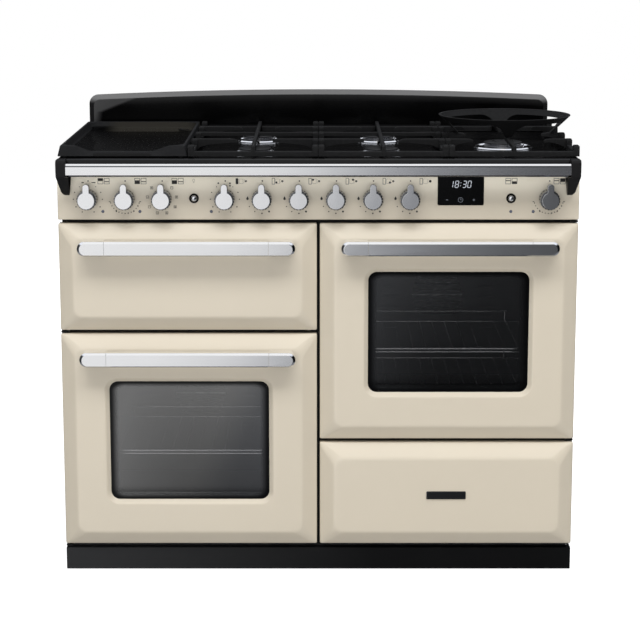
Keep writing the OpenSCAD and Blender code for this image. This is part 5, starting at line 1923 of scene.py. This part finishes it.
@dataclass
class Studio:
    """Camera, pale floor, surroundings and soft lamps; sizes are in metres."""

    camera_place: tuple[float, float, float] = (-0.00075, -4.446, 1.372)
    pitch: float = 78.9
    lens: float = 113.34
    floor_r: float = 7.0
    sky: float = 0.27
    sky_tilt: float = 0.3

    def camera(self) -> None:
        """Place the camera as the photograph's was."""
        data = bpy.data.cameras.new("camera")
        data.lens = self.lens
        data.sensor_width = 36.0
        data.clip_end = 60.0
        camera = put("camera", data)
        camera.location = self.camera_place
        camera.rotation_euler = (math.radians(self.pitch), 0.0, 0.0)
        bpy.context.scene.camera = camera

    def floor(self) -> None:
        """Make a round pale floor that glows to the camera and is matt to the light."""
        mesh = bpy.data.meshes.new("floor")
        loop = stand(polar(self.floor_r, full_turn(64)), -0.0005, Along.Z)
        mesh.from_pydata(loop.tolist(), [], [tuple(range(64))])
        floor = put("floor", mesh)
        material = bpy.data.materials.new("pale_floor")
        material.use_nodes = True
        shader = Shader(material.node_tree)
        seen = shader.node("LightPath", {}, "Is Camera Ray")
        glow = shader.node("Emission", {"Color": (1, 1, 1, 1), "Strength": 0.86})
        matt = shader.node("BsdfDiffuse", {"Color": (0.64, 0.64, 0.64, 1)})
        none = shader.node("Emission", {"Strength": 0.0})
        light = shader.node("MixShader", {0: seen, 1: none, 2: glow})
        shader.show(shader.node("AddShader", {0: matt, 1: light}))
        mesh.materials.append(material)
        floor.visible_glossy = False
        floor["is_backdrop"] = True

    def surroundings(self) -> None:
        """Light from all round, white to the camera.

        Diffuse light grows towards the zenith. Reflections see a bright area at the left
        and above, and a dark one at the right and below, as in a product studio.
        """
        world = bpy.data.worlds.new("studio")
        bpy.context.scene.world = world
        world.use_nodes = True
        shader = Shader(world.node_tree)
        x, y, z = shader.axes(shader.node("TexCoord", {}, "Generated"))
        soft = (z * self.sky_tilt + 1.0) * self.sky
        front = (-y).at_least(0.04)
        side = (x / front).at_most(4.0).at_least(-4.0)
        swing = side - (z / front + 0.118) * 0.39
        fade = shader.node(
            "ValToRGB", {0: swing.step(-0.08, 0.17, "LINEAR")}, "Color",
            stops=[(0.0, 0.84), (0.24, 0.84), (0.31, 0.77), (0.39, 0.45), (0.49, 0.27),
                   (0.59, 0.18), (0.73, 0.088), (0.85, 0.061), (1.0, 0.061)])
        level, *_ = shader.axes(fade)
        shine = level = level * (1.0 - abs(side).step(0.5, 1.4) * 0.95)
        for zone, glow in ((y.step(-0.1, 0.2), 0.036), (z.step(0.42, 0.62), 0.95),
                           ((-z).step(0.34, 0.6), 0.24)):
            shine = shine * (1.0 - zone) + zone * glow
        glossy = shader.node("LightPath", {}, "Is Glossy Ray")
        seen = shader.node("LightPath", {}, "Is Camera Ray")
        strength = soft * (1.0 - glossy) + shine * glossy
        strength = strength * (1.0 - seen) + seen
        white = (1.0, 1.0, 1.0)
        cool = shader.blend(level.step(0.3, 0.8), (0.9, 0.93, 1.0), white)
        tint = shader.blend(glossy, white, cool)
        shader.show(shader.node("Background", {"Color": tint, "Strength": strength}),
                    "OutputWorld")

    def lamp(self, name: str, place: Sequence[float], aim: Sequence[float],
             size: Pair, power: float) -> None:
        """Add a soft lamp that isn't seen in reflections.

        Args:
            name: its name.
            place: where it stands, in metres.
            aim: the point that it faces.
            size: its width and depth.
            power: its power in watts.
        """
        data = bpy.data.lights.new(name, "AREA")
        data.shape = "RECTANGLE"
        data.size, data.size_y = size
        data.energy = power
        lamp = put(name, data)
        lamp.location = place
        x, y, z = np.array(aim) - np.array(place)
        lamp.rotation_euler = (math.atan2(math.hypot(x, y), -z), 0.0,
                               math.atan2(y, x) - TURN / 4)
        lamp.visible_glossy = False

    def build(self) -> None:
        """Set up everything round the cooker."""
        self.camera()
        self.floor()
        self.surroundings()
        self.lamp("key_lamp", (0.0, -3.53, 6.13), (0.0, -0.28, 0.5), (7.0, 1.95), 352.0)
        self.lamp("front_lamp", (0.0, -4.3, 0.95), (0.0, -0.28, 0.5), (3.0, 0.8), 44.0)
        self.lamp("rear_lamp", (0.0, 4.2, 2.4), (0.0, 0.2, 0.5), (3.0, 1.5), 95.0)
        bpy.context.scene.view_settings.view_transform = "Standard"


def corners(pair: Sequence[Sequence[float]]) -> list[list[float]]:
    """Two corners as plain lists of numbers."""
    return [[float(v) for v in corner] for corner in pair]


def main() -> None:
    """Build the studio and every sub-assembly in order."""
    logging.basicConfig(level=logging.INFO, format="%(message)s")
    cad_box = corners(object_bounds())
    left, right = (-SIDE_X, -3), (3, SIDE_X)
    middle, ear = RIGHT_WINDOW[0], 255.25
    places = [(x, y) for x in (-HALF_BAY, HALF_BAY) for y in BURNER_YS]
    assemblies = [
        Studio(),
        FrameDresser(),
        PressedFront("grill_door", "grill_door", "grill_door", (*left, 529.5, 757.5),
                     slots=(-middle - ear, -middle + ear), thick=0.0),
        PressedFront("left_door", "left_door", "left_oven_door", (*left, 59, 522),
                     LEFT_WINDOW),
        PressedFront("right_door", "right_door", "right_oven_door", (*right, 292.5, 757.5),
                     RIGHT_WINDOW),
        PressedFront("drawer", "drawer_front", "drawer", (*right, 59, 285)),
        BarHandle("grill_handle", "grill_door_handle", "grill_door", -middle, 712.3),
        BarHandle("left_handle", "left_door_handle", "left_oven_door", -middle, 476.8),
        BarHandle("right_handle", "right_door_handle", "right_oven_door", middle, 712.3),
        BarePlate(),
        ControlPanel(),
        FrontRail(),
        Splashback(),
        GriddlePlate(),
        PanSupport("support_centre_left", -HALF_BAY),
        PanSupport("support_centre_right", HALF_BAY),
        PanSupport("support_right", 3 * HALF_BAY, wok=True),
        WokRing(),
        *(Burner(f"burner_{number}", x, y) for number, (x, y) in enumerate(places, 1)),
        Burner("burner_wok", 3 * HALF_BAY, WOK_Y, 66.5, 41.5, 43.0, 40, True,
               base_for=["burner_bases"], cap_for=["burner_caps"]),
    ]
    for assembly in assemblies:
        assembly.build()
    json.dumps({"cad": cad_box, "scene": corners(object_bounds())})


if __name__ == "__main__":
    main()
